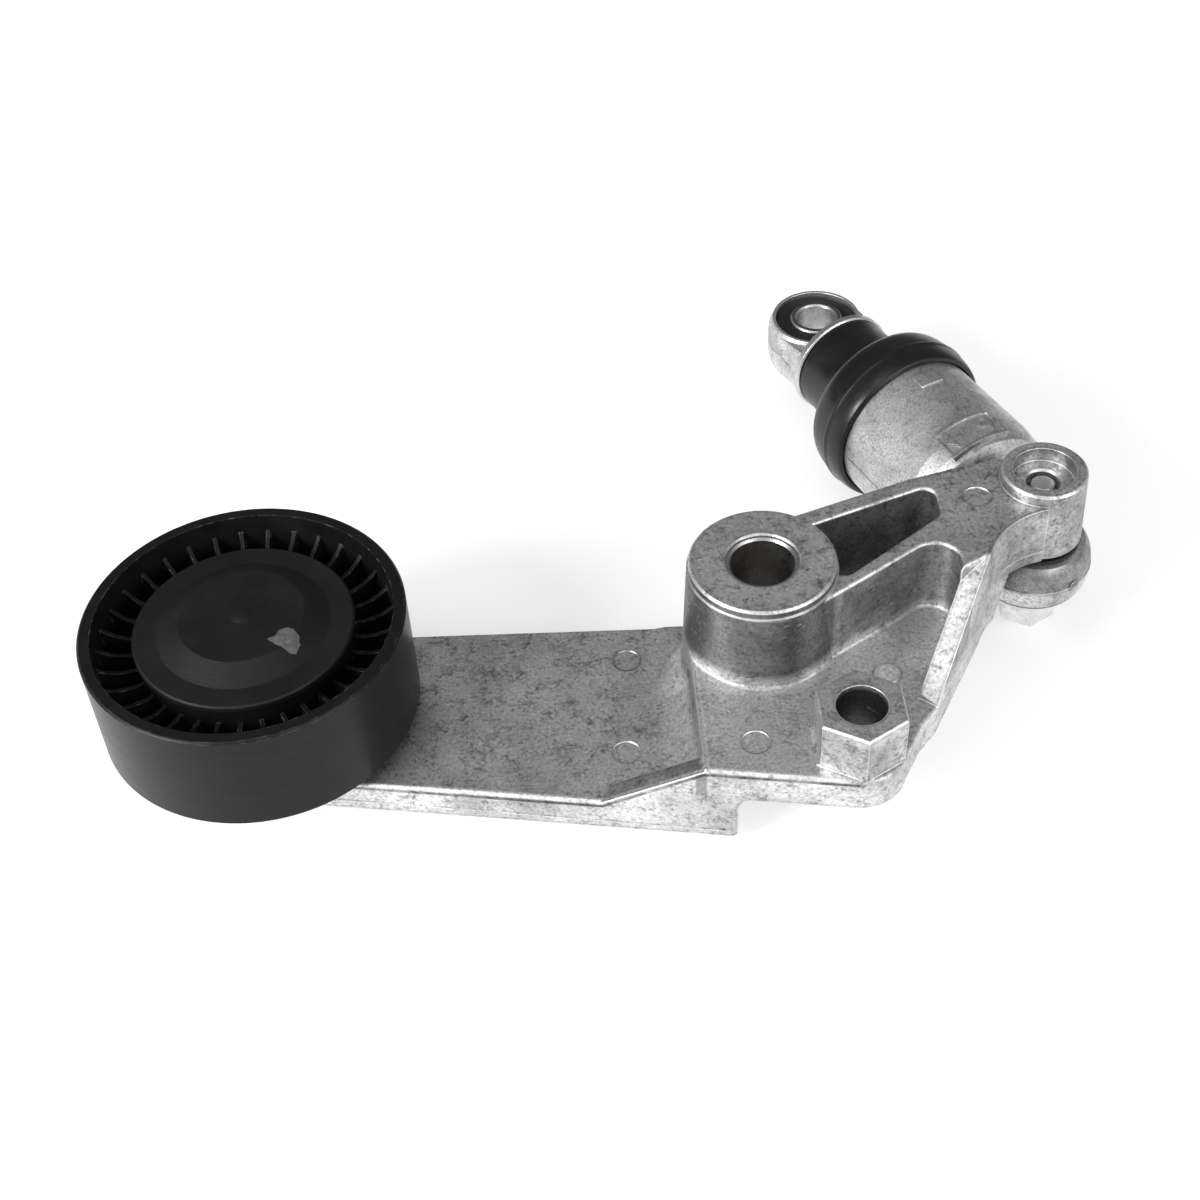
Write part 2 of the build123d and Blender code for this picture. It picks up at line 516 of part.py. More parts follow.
CAP_BOTTOM = HUB_TOP
CAP_TOP = PULLEY_TOP + 1.0
with BuildPart() as dust_cap:
    with BuildSketch(pulley_section):
        with BuildLine():
            Polyline((0, CAP_TOP), (14.6, CAP_TOP), (19.4, CAP_BOTTOM + CAP_THICK + 0.4),
                     (20.2, CAP_BOTTOM + CAP_THICK), (CAP_R - 0.4, CAP_BOTTOM + CAP_THICK),
                     (CAP_R, CAP_BOTTOM + CAP_THICK - 0.4), (CAP_R, CAP_BOTTOM),
                     (CAP_SEAT_R - RUN_GAP, CAP_BOTTOM),
                     (CAP_SEAT_R - RUN_GAP, BEARING_TOP + 2.2), (CAP_SEAT_R - 1.4, BEARING_TOP + 2.2),
                     (CAP_SEAT_R - 1.4, CAP_BOTTOM), (18.6, CAP_BOTTOM + 0.2), (14.0, CAP_TOP - CAP_THICK),
                     (0, CAP_TOP - CAP_THICK), close=True)
        make_face()
        with BuildLine():
            Polyline((2.8, CAP_TOP - 0.1), (0, CAP_TOP - 0.1), (0, CAP_TOP + 0.5))
            ThreePointArc((0, CAP_TOP + 0.5), (1.5, CAP_TOP + 0.36), (2.8, CAP_TOP - 0.1))
        make_face()
    revolve(axis=pulley_axis)
dust_cap.part.label = "dust_cap"
export_step(dust_cap.part, "parts/dust_cap.step")

# ---------------------------------------------------------------- damper housing and what is fixed in it
PANEL_NEAR, PANEL_FAR, PANEL_LIFT = 21.2, 30.6, 0.45

with BuildPart() as damper_housing:
    # lower eye
    with BuildSketch(lower_eye_section):
        with BuildLine():
            Polyline((LOWER_EYE_R - 1.9, LOWER_EYE_HALF), (0, LOWER_EYE_HALF), (0, -LOWER_EYE_HALF),
                     (LOWER_EYE_R - 1.3, -LOWER_EYE_HALF))
            ThreePointArc((LOWER_EYE_R - 1.3, -LOWER_EYE_HALF), (LOWER_EYE_R - 0.35, -LOWER_EYE_HALF + 2.2),
                          (LOWER_EYE_R, 0))
            ThreePointArc((LOWER_EYE_R, 0), (LOWER_EYE_R - 0.5, LOWER_EYE_HALF - 2.4),
                          (LOWER_EYE_R - 1.9, LOWER_EYE_HALF))
        make_face()
    revolve(axis=Axis(LOWER_EYE, (0, 0, 1)))
    # body, turned about its own axis
    with BuildSketch(damper_section):
        with BuildLine():
            Polyline((6.0, 0), (6.0, 5.4), (12.0, 6.2), (15.0, 8.6), (17.4, 12.4), (18.8, 17.0), (20.3, 18.8),
                     (22.6, 19.8), (27.0, HOUSING_R), (HOUSING_END - 0.6, HOUSING_R),
                     (HOUSING_END, HOUSING_R - 0.6), (HOUSING_END, HOUSING_BORE), (HOUSING_FLOOR, HOUSING_BORE),
                     (HOUSING_FLOOR, CYLINDER_R + RUN_GAP), (CYLINDER_SEAT, CYLINDER_R + RUN_GAP),
                     (CYLINDER_SEAT, 0), close=True)
        make_face()
    revolve(axis=damper_axis)
    # framed panel and plain pad on the upper side
    for near, far, turn, arc in ((PANEL_NEAR, PANEL_FAR, -30.0, 47.0), (45.8, 50.6, -8.0, 18.0)):
        with BuildSketch(turned_damper_section(turn)):
            with BuildLine():
                Polyline((near, 17.8), (near, HOUSING_R + PANEL_LIFT), (far, HOUSING_R + PANEL_LIFT),
                         (far, 17.8), close=True)
            make_face()
        revolve(axis=damper_axis, revolution_arc=arc)
    with BuildSketch(turned_damper_section(-30.0 + 2.2)):
        with BuildLine():
            Polyline((PANEL_NEAR + 0.8, HOUSING_R + 0.05), (PANEL_NEAR + 0.8, HOUSING_R + 2),
                     (PANEL_FAR - 0.8, HOUSING_R + 2), (PANEL_FAR - 0.8, HOUSING_R + 0.05), close=True)
        make_face()
    revolve(axis=damper_axis, revolution_arc=47.0 - 4.4, mode=Mode.SUBTRACT)
    # room for the rubber bush
    with BuildSketch(lower_eye_plane):
        Circle(LOWER_EYE_BORE)
    extrude(amount=LOWER_EYE_HALF + 1.2, both=True, mode=Mode.SUBTRACT)
damper_housing.part.label = "damper_housing"
export_step(damper_housing.part, "parts/damper_housing.step")

for name, centre, outer, inner, half in (
    ("lower_eye_bush", lower_eye_plane, LOWER_EYE_BORE, LOWER_SLEEVE_R, LOWER_EYE_HALF + 0.9),
    ("top_eye_bush", top_eye_plane, TOP_EYE_BORE, TOP_SLEEVE_R, TOP_EYE_HALF - 1.2),
):
    with BuildPart() as eye_bush:
        with BuildSketch(centre.offset(-half)):
            Circle(outer - RUN_GAP)
            Circle(inner + 0.05, mode=Mode.SUBTRACT)
        extrude(amount=2 * half)
    eye_bush.part.label = name
    export_step(eye_bush.part, f"parts/{name}.step")

SEAT_THICK = 2.5
SEAT_BORE_R, VALVE_BALL_R = 1.8, 2.4
with BuildPart() as valve_seat:
    with BuildSketch(damper_section):
        with BuildLine():
            Polyline((CYLINDER_SEAT, SEAT_BORE_R), (CYLINDER_SEAT, CYLINDER_BORE - RUN_GAP),
                     (CYLINDER_SEAT + SEAT_THICK, CYLINDER_BORE - RUN_GAP),
                     (CYLINDER_SEAT + SEAT_THICK, SEAT_BORE_R), close=True)
        make_face()
    revolve(axis=damper_axis)
valve_seat.part.label = "valve_seat"
export_step(valve_seat.part, "parts/valve_seat.step")

ball_centre = CYLINDER_SEAT + SEAT_THICK + sqrt(VALVE_BALL_R**2 - SEAT_BORE_R**2) + 0.03
with BuildPart() as valve_ball:
    with Locations(damper_plane(ball_centre)):
        Sphere(VALVE_BALL_R)
valve_ball.part.label = "valve_ball"
export_step(valve_ball.part, "parts/valve_ball.step")

with BuildPart() as valve_cage:
    with BuildSketch(damper_section):
        with BuildLine():
            cage_start = CYLINDER_SEAT + SEAT_THICK
            Polyline((cage_start, 3.0), (cage_start, 6.6), (cage_start + 0.6, 6.6), (cage_start + 0.6, 3.6),
                     (cage_start + 5.2, 3.6), (cage_start + 5.2, 1.0), (cage_start + 4.6, 1.0),
                     (cage_start + 4.6, 3.0), close=True)
        make_face()
    revolve(axis=damper_axis)
valve_cage.part.label = "valve_cage"
export_step(valve_cage.part, "parts/valve_cage.step")

with BuildPart() as pressure_cylinder:
    with BuildSketch(damper_plane(CYLINDER_SEAT)):
        Circle(CYLINDER_R)
        Circle(CYLINDER_BORE, mode=Mode.SUBTRACT)
    extrude(amount=CYLINDER_END - CYLINDER_SEAT)
pressure_cylinder.part.label = "pressure_cylinder"
export_step(pressure_cylinder.part, "parts/pressure_cylinder.step")

SEAL_R = 7.6
with BuildPart() as rod_guide:
    with BuildSketch(damper_section):
        with BuildLine():
            Polyline((CYLINDER_END, ROD_R + RUN_GAP), (CYLINDER_END, HOUSING_BORE - RUN_GAP),
                     (HOUSING_END - 1.0, HOUSING_BORE - RUN_GAP), (HOUSING_END - 1.0, SEAL_R),
                     (CYLINDER_END + 4.0, SEAL_R), (CYLINDER_END + 4.0, ROD_R + RUN_GAP), close=True)
        make_face()
    revolve(axis=damper_axis)
rod_guide.part.label = "rod_guide"
export_step(rod_guide.part, "parts/rod_guide.step")

with BuildPart() as rod_seal:
    with BuildSketch(damper_plane(CYLINDER_END + 4.0)):
        Circle(SEAL_R - RUN_GAP)
        Circle(ROD_R + 0.05, mode=Mode.SUBTRACT)
    extrude(amount=2.6)
rod_seal.part.label = "rod_seal"
export_step(rod_seal.part, "parts/rod_seal.step")

# ---------------------------------------------------------------- rod, top eye and what moves with them
with BuildPart() as piston:
    with BuildSketch(damper_plane(PISTON_START)):
        Circle(CYLINDER_BORE - RUN_GAP)
        Circle(ROD_R - 1.0, mode=Mode.SUBTRACT)
    extrude(amount=PISTON_LENGTH)
piston.part.label = "piston"
export_step(piston.part, "parts/piston.step")

with BuildPart() as piston_rod:
    with BuildSketch(damper_section):
        with BuildLine():
            neck = ROD_R - 1.0 - RUN_GAP
            Polyline((PISTON_START - 1.5, 0), (PISTON_START - 1.5, neck + 1.4), (PISTON_START, neck + 1.4),
                     (PISTON_START, neck), (PISTON_START + PISTON_LENGTH, neck),
                     (PISTON_START + PISTON_LENGTH, ROD_R),
                     (FLANGE_START + FLANGE_THICK, ROD_R), (FLANGE_START + FLANGE_THICK, 0), close=True)
        make_face()
    revolve(axis=damper_axis)
piston_rod.part.label = "piston_rod"
export_step(piston_rod.part, "parts/piston_rod.step")

with BuildPart() as spring_plate:
    with BuildSketch(damper_section):
        with BuildLine():
            Polyline((FLANGE_START, ROD_R + RUN_GAP), (FLANGE_START, FLANGE_R - 0.4),
                     (FLANGE_START + 0.4, FLANGE_R), (FLANGE_START + FLANGE_THICK - 0.4, FLANGE_R),
                     (FLANGE_START + FLANGE_THICK, FLANGE_R - 0.4),
                     (FLANGE_START + FLANGE_THICK, ROD_R + RUN_GAP), close=True)
        make_face()
    revolve(axis=damper_axis)
spring_plate.part.label = "spring_plate"
export_step(spring_plate.part, "parts/spring_plate.step")

with BuildPart() as top_eye:
    with BuildSketch(top_eye_section):
        with BuildLine():
            Polyline((TOP_EYE_R - 1.0, TOP_EYE_HALF), (0, TOP_EYE_HALF), (0, -TOP_EYE_HALF),
                     (TOP_EYE_R - 1.0, -TOP_EYE_HALF))
            ThreePointArc((TOP_EYE_R - 1.0, -TOP_EYE_HALF), (TOP_EYE_R - 0.2, -TOP_EYE_HALF + 2.0),
                          (TOP_EYE_R, 0))
            ThreePointArc((TOP_EYE_R, 0), (TOP_EYE_R - 0.2, TOP_EYE_HALF - 2.0),
                          (TOP_EYE_R - 1.0, TOP_EYE_HALF))
        make_face()
    revolve(axis=Axis(TOP_EYE, (0, 0, 1)))
    shank_start = FLANGE_START + FLANGE_THICK
    split(bisect_by=damper_plane(shank_start), keep=Keep.TOP)
    with BuildSketch(damper_plane(shank_start)):
        Circle(FLANGE_R - 1.0)
        Rectangle(2 * FLANGE_R, 2 * TOP_EYE_HALF - 1.0, mode=Mode.INTERSECT)
    with BuildSketch(damper_plane(EYE_TO_EYE - 1.0)):
        Rectangle(2 * TOP_EYE_R - 0.8, 2 * TOP_EYE_HALF - 2.6)
    loft()
    with BuildSketch(top_eye_plane.offset(-TOP_EYE_HALF - 1.0)):
        Circle(TOP_EYE_BORE)
    extrude(amount=2 * TOP_EYE_HALF + 2.0, mode=Mode.SUBTRACT)
top_eye.part.label = "top_eye"
export_step(top_eye.part, "parts/top_eye.step")

with BuildPart() as top_eye_sleeve:
    with BuildSketch(top_eye_plane.offset(-TOP_SLEEVE_HALF)):
        Circle(TOP_SLEEVE_R)
        Circle(TOP_SLEEVE_BORE, mode=Mode.SUBTRACT)
    extrude(amount=2 * TOP_SLEEVE_HALF)
    chamfer(top_eye_sleeve.edges().filter_by(GeomType.CIRCLE), length=0.4)
top_eye_sleeve.part.label = "top_eye_sleeve"
export_step(top_eye_sleeve.part, "parts/top_eye_sleeve.step")

# ---------------------------------------------------------------- spring and boot, which shorten with the stroke
spring_start = HOUSING_END - 1.0 + SPRING_WIRE / 2 + 0.1
spring_length = FLANGE_START - 0.1 - SPRING_WIRE / 2 - spring_start
with BuildPart() as damper_spring:
    with BuildLine():
        coil = Helix(pitch=spring_length / SPRING_TURNS, height=spring_length, radius=SPRING_R,
                     center=damper_plane(spring_start).origin, direction=ALONG)
    with BuildSketch(Plane(origin=coil @ 0, z_dir=coil % 0)):
        Circle(SPRING_WIRE / 2)
    sweep(path=coil, is_frenet=True)
damper_spring.part.label = "damper_spring"
export_step(damper_spring.part, "parts/damper_spring.step")

BOOT_WALL = 1.4
boot_outer = [(53.2, 20.9), (53.8, 22.0), (57.0, 22.6), (62.0, 22.5), (66.8, 21.5), (69.4, 18.4), (71.0, 15.6),
              (73.0, 14.5), (80.0, 13.9), (FLANGE_START - 0.1, 13.9)]
boot_inner = [(FLANGE_START - 0.1, 13.9 - BOOT_WALL), (80.0, 13.9 - BOOT_WALL), (73.0, 13.0), (70.0, 14.4),
              (68.0, 17.8), (65.6, 20.2), (62.0, 21.0), (53.2, HOUSING_R + 0.15)]
with BuildPart() as boot:
    with BuildSketch(damper_section):
        with BuildLine():
            Polyline(*boot_outer, *boot_inner, close=True)
        make_face()
    revolve(axis=damper_axis)
boot.part.label = "boot"
export_step(boot.part, "parts/boot.step")
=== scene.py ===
"""Looks for the belt tensioner: materials, soft parts, casting detail, lights and camera."""
import bpy
import bmesh
from math import cos, pi, radians, sin
from mathutils import Matrix, Vector, noise
from mathutils.bvhtree import BVHTree


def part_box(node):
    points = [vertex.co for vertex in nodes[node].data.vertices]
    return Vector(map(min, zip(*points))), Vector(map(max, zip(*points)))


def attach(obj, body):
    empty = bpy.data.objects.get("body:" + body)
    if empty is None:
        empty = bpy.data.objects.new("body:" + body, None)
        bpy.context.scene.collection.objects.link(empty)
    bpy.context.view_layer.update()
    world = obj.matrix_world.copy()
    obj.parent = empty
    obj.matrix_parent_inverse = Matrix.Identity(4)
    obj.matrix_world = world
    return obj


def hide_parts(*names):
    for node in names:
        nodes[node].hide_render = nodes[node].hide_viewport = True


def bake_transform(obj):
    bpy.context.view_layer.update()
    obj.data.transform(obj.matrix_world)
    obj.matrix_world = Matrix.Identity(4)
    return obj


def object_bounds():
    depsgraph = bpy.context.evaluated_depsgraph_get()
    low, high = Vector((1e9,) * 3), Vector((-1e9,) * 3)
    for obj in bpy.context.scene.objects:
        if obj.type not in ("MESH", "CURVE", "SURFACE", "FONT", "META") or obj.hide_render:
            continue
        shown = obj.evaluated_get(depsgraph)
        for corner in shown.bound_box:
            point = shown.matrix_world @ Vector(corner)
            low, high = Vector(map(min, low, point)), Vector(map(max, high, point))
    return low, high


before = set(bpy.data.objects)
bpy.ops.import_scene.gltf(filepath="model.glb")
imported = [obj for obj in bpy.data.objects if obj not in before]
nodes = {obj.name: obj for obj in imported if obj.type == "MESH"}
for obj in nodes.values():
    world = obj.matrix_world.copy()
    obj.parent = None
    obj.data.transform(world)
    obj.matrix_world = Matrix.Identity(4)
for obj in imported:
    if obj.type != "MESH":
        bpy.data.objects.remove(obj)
cad_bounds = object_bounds()
MM = 0.001

# ---------------------------------------------------------------- places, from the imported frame


def mm(*values):
    return Vector(values) * MM


def middle(node):
    low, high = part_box(node)
    return (low + high) / 2


PULLEY_AXIS = middle("bearing_inner_ring").xy
LOWER_EYE = middle("lower_eye_sleeve")
TOP_EYE = middle("top_eye_sleeve")
DAMPER_START = Vector((LOWER_EYE.x, LOWER_EYE.y, TOP_EYE.z))
ALONG = (TOP_EYE - DAMPER_START).normalized()
UP = Vector((0, 0, 1))
ACROSS = ALONG.cross(UP)
HOUSING_R = (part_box("damper_housing")[1].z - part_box("damper_housing")[0].z) / 2


def damper_point(along, radius=0.0, angle=0.0):
    """Point so far along the damper's axis and out from it, in mm; angle 0 is straight up."""
    outward = UP * cos(angle) + ACROSS * sin(angle)
    return DAMPER_START + ALONG * along * MM + outward * radius * MM


# ---------------------------------------------------------------- shader nodes


class Shader:
    """One material and the few node patterns that the finishes below share."""

    def __init__(self, name):
        self.material = bpy.data.materials.new(name)
        self.material.use_nodes = True
        self.tree = self.material.node_tree
        self.surface = self.tree.nodes["Principled BSDF"]
        self.place = self.add("ShaderNodeTexCoord").outputs["Object"]

    def add(self, kind, inputs=None, **settings):
        node = self.tree.nodes.new(kind)
        for key, value in settings.items():
            setattr(node, key, value)
        for key, value in (inputs or {}).items():
            self.set(node.inputs[key], value)
        return node

    def set(self, socket, value):
        if isinstance(value, bpy.types.NodeSocket):
            self.tree.links.new(value, socket)
        else:
            socket.default_value = value

    def finish(self, **inputs):
        for key, value in inputs.items():
            self.set(self.surface.inputs[key.replace("_", " ")], value)
        return self.material

    def noise(self, scale, detail=4.0, roughness=0.55, distortion=0.0, place=None):
        """Noise with features about 1/scale metres across."""
        inputs = {"Vector": place or self.place, "Scale": scale, "Detail": detail,
                  "Roughness": roughness, "Distortion": distortion}
        return self.add("ShaderNodeTexNoise", inputs).outputs["Fac"]

    def cells(self, scale):
        """Distance to the middle of the nearest cell, in cells about 1/scale metres across."""
        inputs = {"Vector": self.place, "Scale": scale}
        return self.add("ShaderNodeTexVoronoi", inputs, feature="F1").outputs["Distance"]

    def ramp(self, value, *stops):
        """Colour ramp; each stop is (place, grey) or (place, (red, green, blue))."""
        node = self.add("ShaderNodeValToRGB", {"Fac": value})
        elements = node.color_ramp.elements
        while len(elements) < len(stops):
            elements.new(0.5)
        for element, (position, colour) in zip(elements, stops):
            element.position = position
            rgb = colour if isinstance(colour, tuple) else (colour, colour, colour)
            element.color = (*rgb, 1)
        return node.outputs["Color"]

    def fade(self, value, low, high, out_low=0.0, out_high=1.0):
        """Goes from out_low where the value is low to out_high where it is high, and no further."""
        inputs = {"Value": value, "From Min": low, "From Max": high, "To Min": out_low, "To Max": out_high}
        return self.add("ShaderNodeMapRange", inputs).outputs["Result"]

    def mix(self, factor, a, b, blend="MIX"):
        """Colour a where the factor is 0 and b where it is 1; a number stands for a grey."""
        node = self.add("ShaderNodeMix", data_type="RGBA", blend_type=blend)
        self.set(node.inputs[0], factor)
        for socket, value in ((node.inputs[6], a), (node.inputs[7], b)):
            if isinstance(value, (int, float)):
                value = (value, value, value, 1)
            self.set(socket, value)
        return node.outputs[2]

    def math(self, operation, a, b=0.0):
        return self.add("ShaderNodeMath", {0: a, 1: b}, operation=operation).outputs[0]

    def edges(self, width):
        """1 on sharp edges of the mesh, 0 on flat and gently curved faces; width is in metres."""
        rounded = self.add("ShaderNodeBevel", {"Radius": width}, samples=6).outputs["Normal"]
        normal = self.add("ShaderNodeNewGeometry").outputs["Normal"]
        return self.fade(self.dot(rounded, normal), 0.995, 0.86)

    def bump(self, height, distance, below=None, strength=1.0):
        """Normal bent by a height; distance is the height's full range in metres."""
        inputs = {"Height": height, "Distance": distance, "Strength": strength}
        if below is not None:
            inputs["Normal"] = below
        return self.add("ShaderNodeBump", inputs).outputs["Normal"]

    def rounded_normal(self, radius):
        return self.add("ShaderNodeBevel", {"Radius": radius}, samples=6).outputs["Normal"]

    def scratches(self):
        """Thin straight marks in three directions."""
        marks = None
        for turn, scale in ((0.5, 210), (-0.9, 260), (1.9, 180)):
            line = self.add("ShaderNodeMapping", {"Vector": self.place, "Rotation": (0.3, turn * 0.4, turn),
                                                  "Scale": (0.07, 1.0, 1.0)}).outputs[0]
            fine = self.noise(scale * 4, detail=1, roughness=0.4, place=line)
            thin = self.fade(fine, 0.700, 0.716)
            marks = thin if marks is None else self.math("MAXIMUM", marks, thin)
        return marks

    def vector_math(self, operation, a, b, output="Vector"):
        return self.add("ShaderNodeVectorMath", {0: a, 1: b}, operation=operation).outputs[output]

    def dot(self, a, b):
        return self.vector_math("DOT_PRODUCT", a, b, "Value")

    def reach(self, centre):
        """Distance from an upright axis through the centre, in metres."""
        away = self.vector_math("SUBTRACT", self.place, (centre[0], centre[1], 0))
        flat = self.vector_math("MULTIPLY", away, (1, 1, 0))
        return self.vector_math("LENGTH", flat, (0, 0, 0), "Value")

    def both(self, *masks):
        """Product of all the masks."""
        product = masks[0]
        for mask in masks[1:]:
            product = self.math("MULTIPLY", product, mask)
        return product

    def either(self, *masks):
        """Largest of all the masks."""
        largest = masks[0]
        for mask in masks[1:]:
            largest = self.math("MAXIMUM", largest, mask)
        return largest

    def past(self, value, start, full):
        """0 at start and 1 at full, both in mm; full may be the smaller of the two."""
        return self.fade(value, start * MM, full * MM)

    def band(self, value, low, high, soft):
        """1 between low and high, fading to 0 over soft on both sides; all in mm."""
        return self.both(self.past(value, low - soft, low), self.past(value, high + soft, high))

    def uneven(self, pattern, at_zero, at_one):
        """A mask's strength, which goes from one value to the other with a pattern of 0 to 1."""
        return self.fade(pattern, 0.0, 1.0, at_zero, at_one)

    def split(self, vector=None):
        """The x, y and z of a vector, or of the place."""
        outputs = self.add("ShaderNodeSeparateXYZ", {0: vector or self.place}).outputs
        return outputs[0], outputs[1], outputs[2]

    def facing(self):
        """The x, y and z of the surface's own direction."""
        return self.split(self.add("ShaderNodeNewGeometry").outputs["Normal"])


def cast_metal(name, tone, patch_scale, stain, edge_light, wear_and_highlight, detail, painted_shade_lines=None):
    """Tumbled die-cast aluminium: cloudy grey skin, dark blots and pits, scratches, bright edges that are
    partly worn and partly painted highlight, with painted shade beside them.
    """
    sharp_edge_width, shaded_width = 0.7 * MM, 1.9 * MM
    s = Shader(name)
    clouds = s.noise(patch_scale, detail=6, roughness=0.62, distortion=0.25)
    colour = s.ramp(clouds, (0.30, tone * 0.58), (0.50, tone), (0.72, tone * 1.40))
    blots = s.ramp(s.noise(patch_scale * 6.0, detail=7, roughness=0.74), (0.32, 1.0 - stain), (0.50, 1.0),
                   (0.64, 1.0), (0.78, 1.3))
    colour = s.mix(1.0, colour, blots, "MULTIPLY")
    # cold-flow lines, where a noise passes through its middle value
    ripple = s.math("SUBTRACT", s.noise(patch_scale * 1.5, detail=7, roughness=0.62), 0.5)
    flow_mask = s.fade(s.noise(patch_scale * 0.7), 0.52, 0.62)
    flow = s.both(s.fade(s.math("ABSOLUTE", ripple), 0.010, 0.003), flow_mask, 0.6)
    colour = s.mix(flow, colour, tone * 0.15)
    rubs = s.fade(s.noise(patch_scale * 2.6, detail=6, roughness=0.7), 0.42, 0.62)
    colour = detail(s, colour, rubs, edge_light)
    specks = s.ramp(s.noise(patch_scale * 24, detail=5, roughness=0.78), (0.30, 0.25), (0.42, 0.86),
                    (0.50, 1.0), (0.60, 1.16), (0.70, 1.5))
    colour = s.mix(1.0, colour, specks, "MULTIPLY")
    scratch_mask = s.fade(s.noise(patch_scale * 1.6, detail=4), 0.52, 0.62)
    scratches = s.both(s.scratches(), scratch_mask)
    colour = s.mix(s.both(scratches, 0.30), colour, edge_light)
    # painted shade in a strip beside each sharp edge, then the sharp edge itself, partly worn bright and
    # partly painted highlight
    sharp = s.edges(sharp_edge_width)
    beside = s.math("SUBTRACT", s.edges(shaded_width), sharp)
    colour = s.mix(s.uneven(beside, 0.0, 0.55), colour, tone * 0.18)
    # on the middle of the damper's housing the sharp edges are painted near-black, as lines of painted shade
    line_tone = s.mix(painted_shade_lines(s), edge_light, 0.02) if painted_shade_lines else edge_light
    colour = s.mix(s.both(sharp, s.uneven(rubs, 0.35 * wear_and_highlight, wear_and_highlight)), colour, line_tone)
    roughness = s.fade(clouds, 0.3, 0.75, 0.50, 0.33)
    swell = s.noise(patch_scale * 3.2, detail=5, roughness=0.55)
    grain = s.noise(patch_scale * 22, detail=3, roughness=0.6)
    normal = s.bump(swell, 0.16 * MM, s.rounded_normal(0.4 * MM), 0.6)
    normal = s.bump(grain, 0.05 * MM, normal, 0.7)
    normal = s.bump(scratches, 0.02 * MM, normal, 0.4)
    return s.finish(Base_Color=colour, Metallic=0.92, Roughness=roughness, Normal=normal)


def housing_middle(s):
    """1 on the middle of the damper's housing, where the cast lines are painted near-black as shade instead
    of worn bright.
    """
    along = s.dot(s.vector_math("SUBTRACT", s.place, DAMPER_START), ALONG)
    return s.band(along, 19.0, 51.0, 1.0)


def damper_detail(s, colour, rubs, edge_light):
    """Painted shade on the upper part of the lower eye's wall, and a dark line of painted shade along its
    bottom edge.
    """
    z = s.split()[2]
    eye = s.both(s.past(s.reach(LOWER_EYE), 16.5, 15.6), s.fade(s.facing()[2], 0.85, 0.6))
    # painted shade on the upper part of the eye's wall
    upper = s.both(eye, s.past(z, 20.4, 22.4), s.uneven(rubs, 0.80, 0.55))
    colour = s.mix(upper, colour, 0.10)
    # painted shade: a dark line along the eye's bottom edge
    return s.mix(s.both(eye, s.past(z, 16.4, 15.8), 0.8), colour, 0.03)


# heights, places and radii on the arm that its marks follow, in mm
BAR_TOP = 12.2
PLATE_TOP = 26.0
HEX_TOP = 39.1
SLOPE_START_X = -40.6
STEP_X = -17.4
HEX = (17.6, -37.4)
HEX_HOLE_R = 5.8
PIP = (27.2, -17.2)
PIP_R = 3.0
PIN_MARKS = ((-32.1, 6.2), (-34.1, -23.0), (-5.2, -34.5), (53.2, 18.7))
PIN_MARK_R = 3.3
FRONT_WALL_FACES = radians(-100.7)


class ArmPlaces:
    """Where a point of the arm is and which way its surface faces there."""

    def __init__(self, s):
        self.x, self.y, self.z = s.split()
        _, self.backward, facing = s.facing()
        self.level = s.fade(facing, 0.8, 0.95)
        self.upward = s.fade(facing, 0.35, 0.6)
        self.steep = s.fade(facing, 0.6, 0.3)
        # distance from the pivot's axis towards the front wall
        self.front = s.dot(s.place, (cos(FRONT_WALL_FACES), sin(FRONT_WALL_FACES), 0))
        self.from_pivot = s.reach((0, 0))
        self.from_hex = s.reach(mm(*HEX))


def painted_shade_on_walls(s, at, colour, rubs):
    """Painted shade on the walls of the boss, hex, neck, truss and step, and on the slope beside the step.
    """
    bare_height = s.either(s.past(at.z, 27, 30), s.past(at.y, 2, 7))
    boss = s.both(s.past(at.from_pivot, 19.4, 18.4), bare_height, at.steep)
    hexagon = s.both(s.past(at.from_hex, 11.3, 11.1), s.past(at.z, 27.0, 28.0), at.steep)
    neck = s.both(s.past(at.x, 56, 60), s.past(at.y, -15, -12), s.past(at.z, 29, 30), at.steep)
    truss = s.both(s.past(at.x, 47.5, 46.5), s.past(at.y, -26, -24), s.past(at.z, 26.6, 29), at.steep,
                   s.past(at.from_pivot, 18.8, 19.6), s.fade(at.backward, 0.5, 0.2))
    step = s.both(s.band(at.x, -19.2, -17.2, 0.5), s.past(at.z, 15, 18), at.steep)
    slope = s.both(s.band(at.x, -40.0, -18.5, 0.6), s.band(at.front, 39.6, 43.2, 0.4),
                   s.past(at.z, 12.3, 12.8))
    # each mask paints shade on its walls, darkening them towards its tone
    for mask, at_zero, at_one, tone in ((boss, 0.94, 0.80, 0.10), (hexagon, 0.46, 0.10, 0.12),
                                        (neck, 0.62, 0.36, 0.10), (truss, 0.66, 0.42, 0.08),
                                        (s.either(step, slope), 0.62, 0.36, 0.08)):
        colour = s.mix(s.both(mask, s.uneven(rubs, at_zero, at_one)), colour, tone)
    return colour


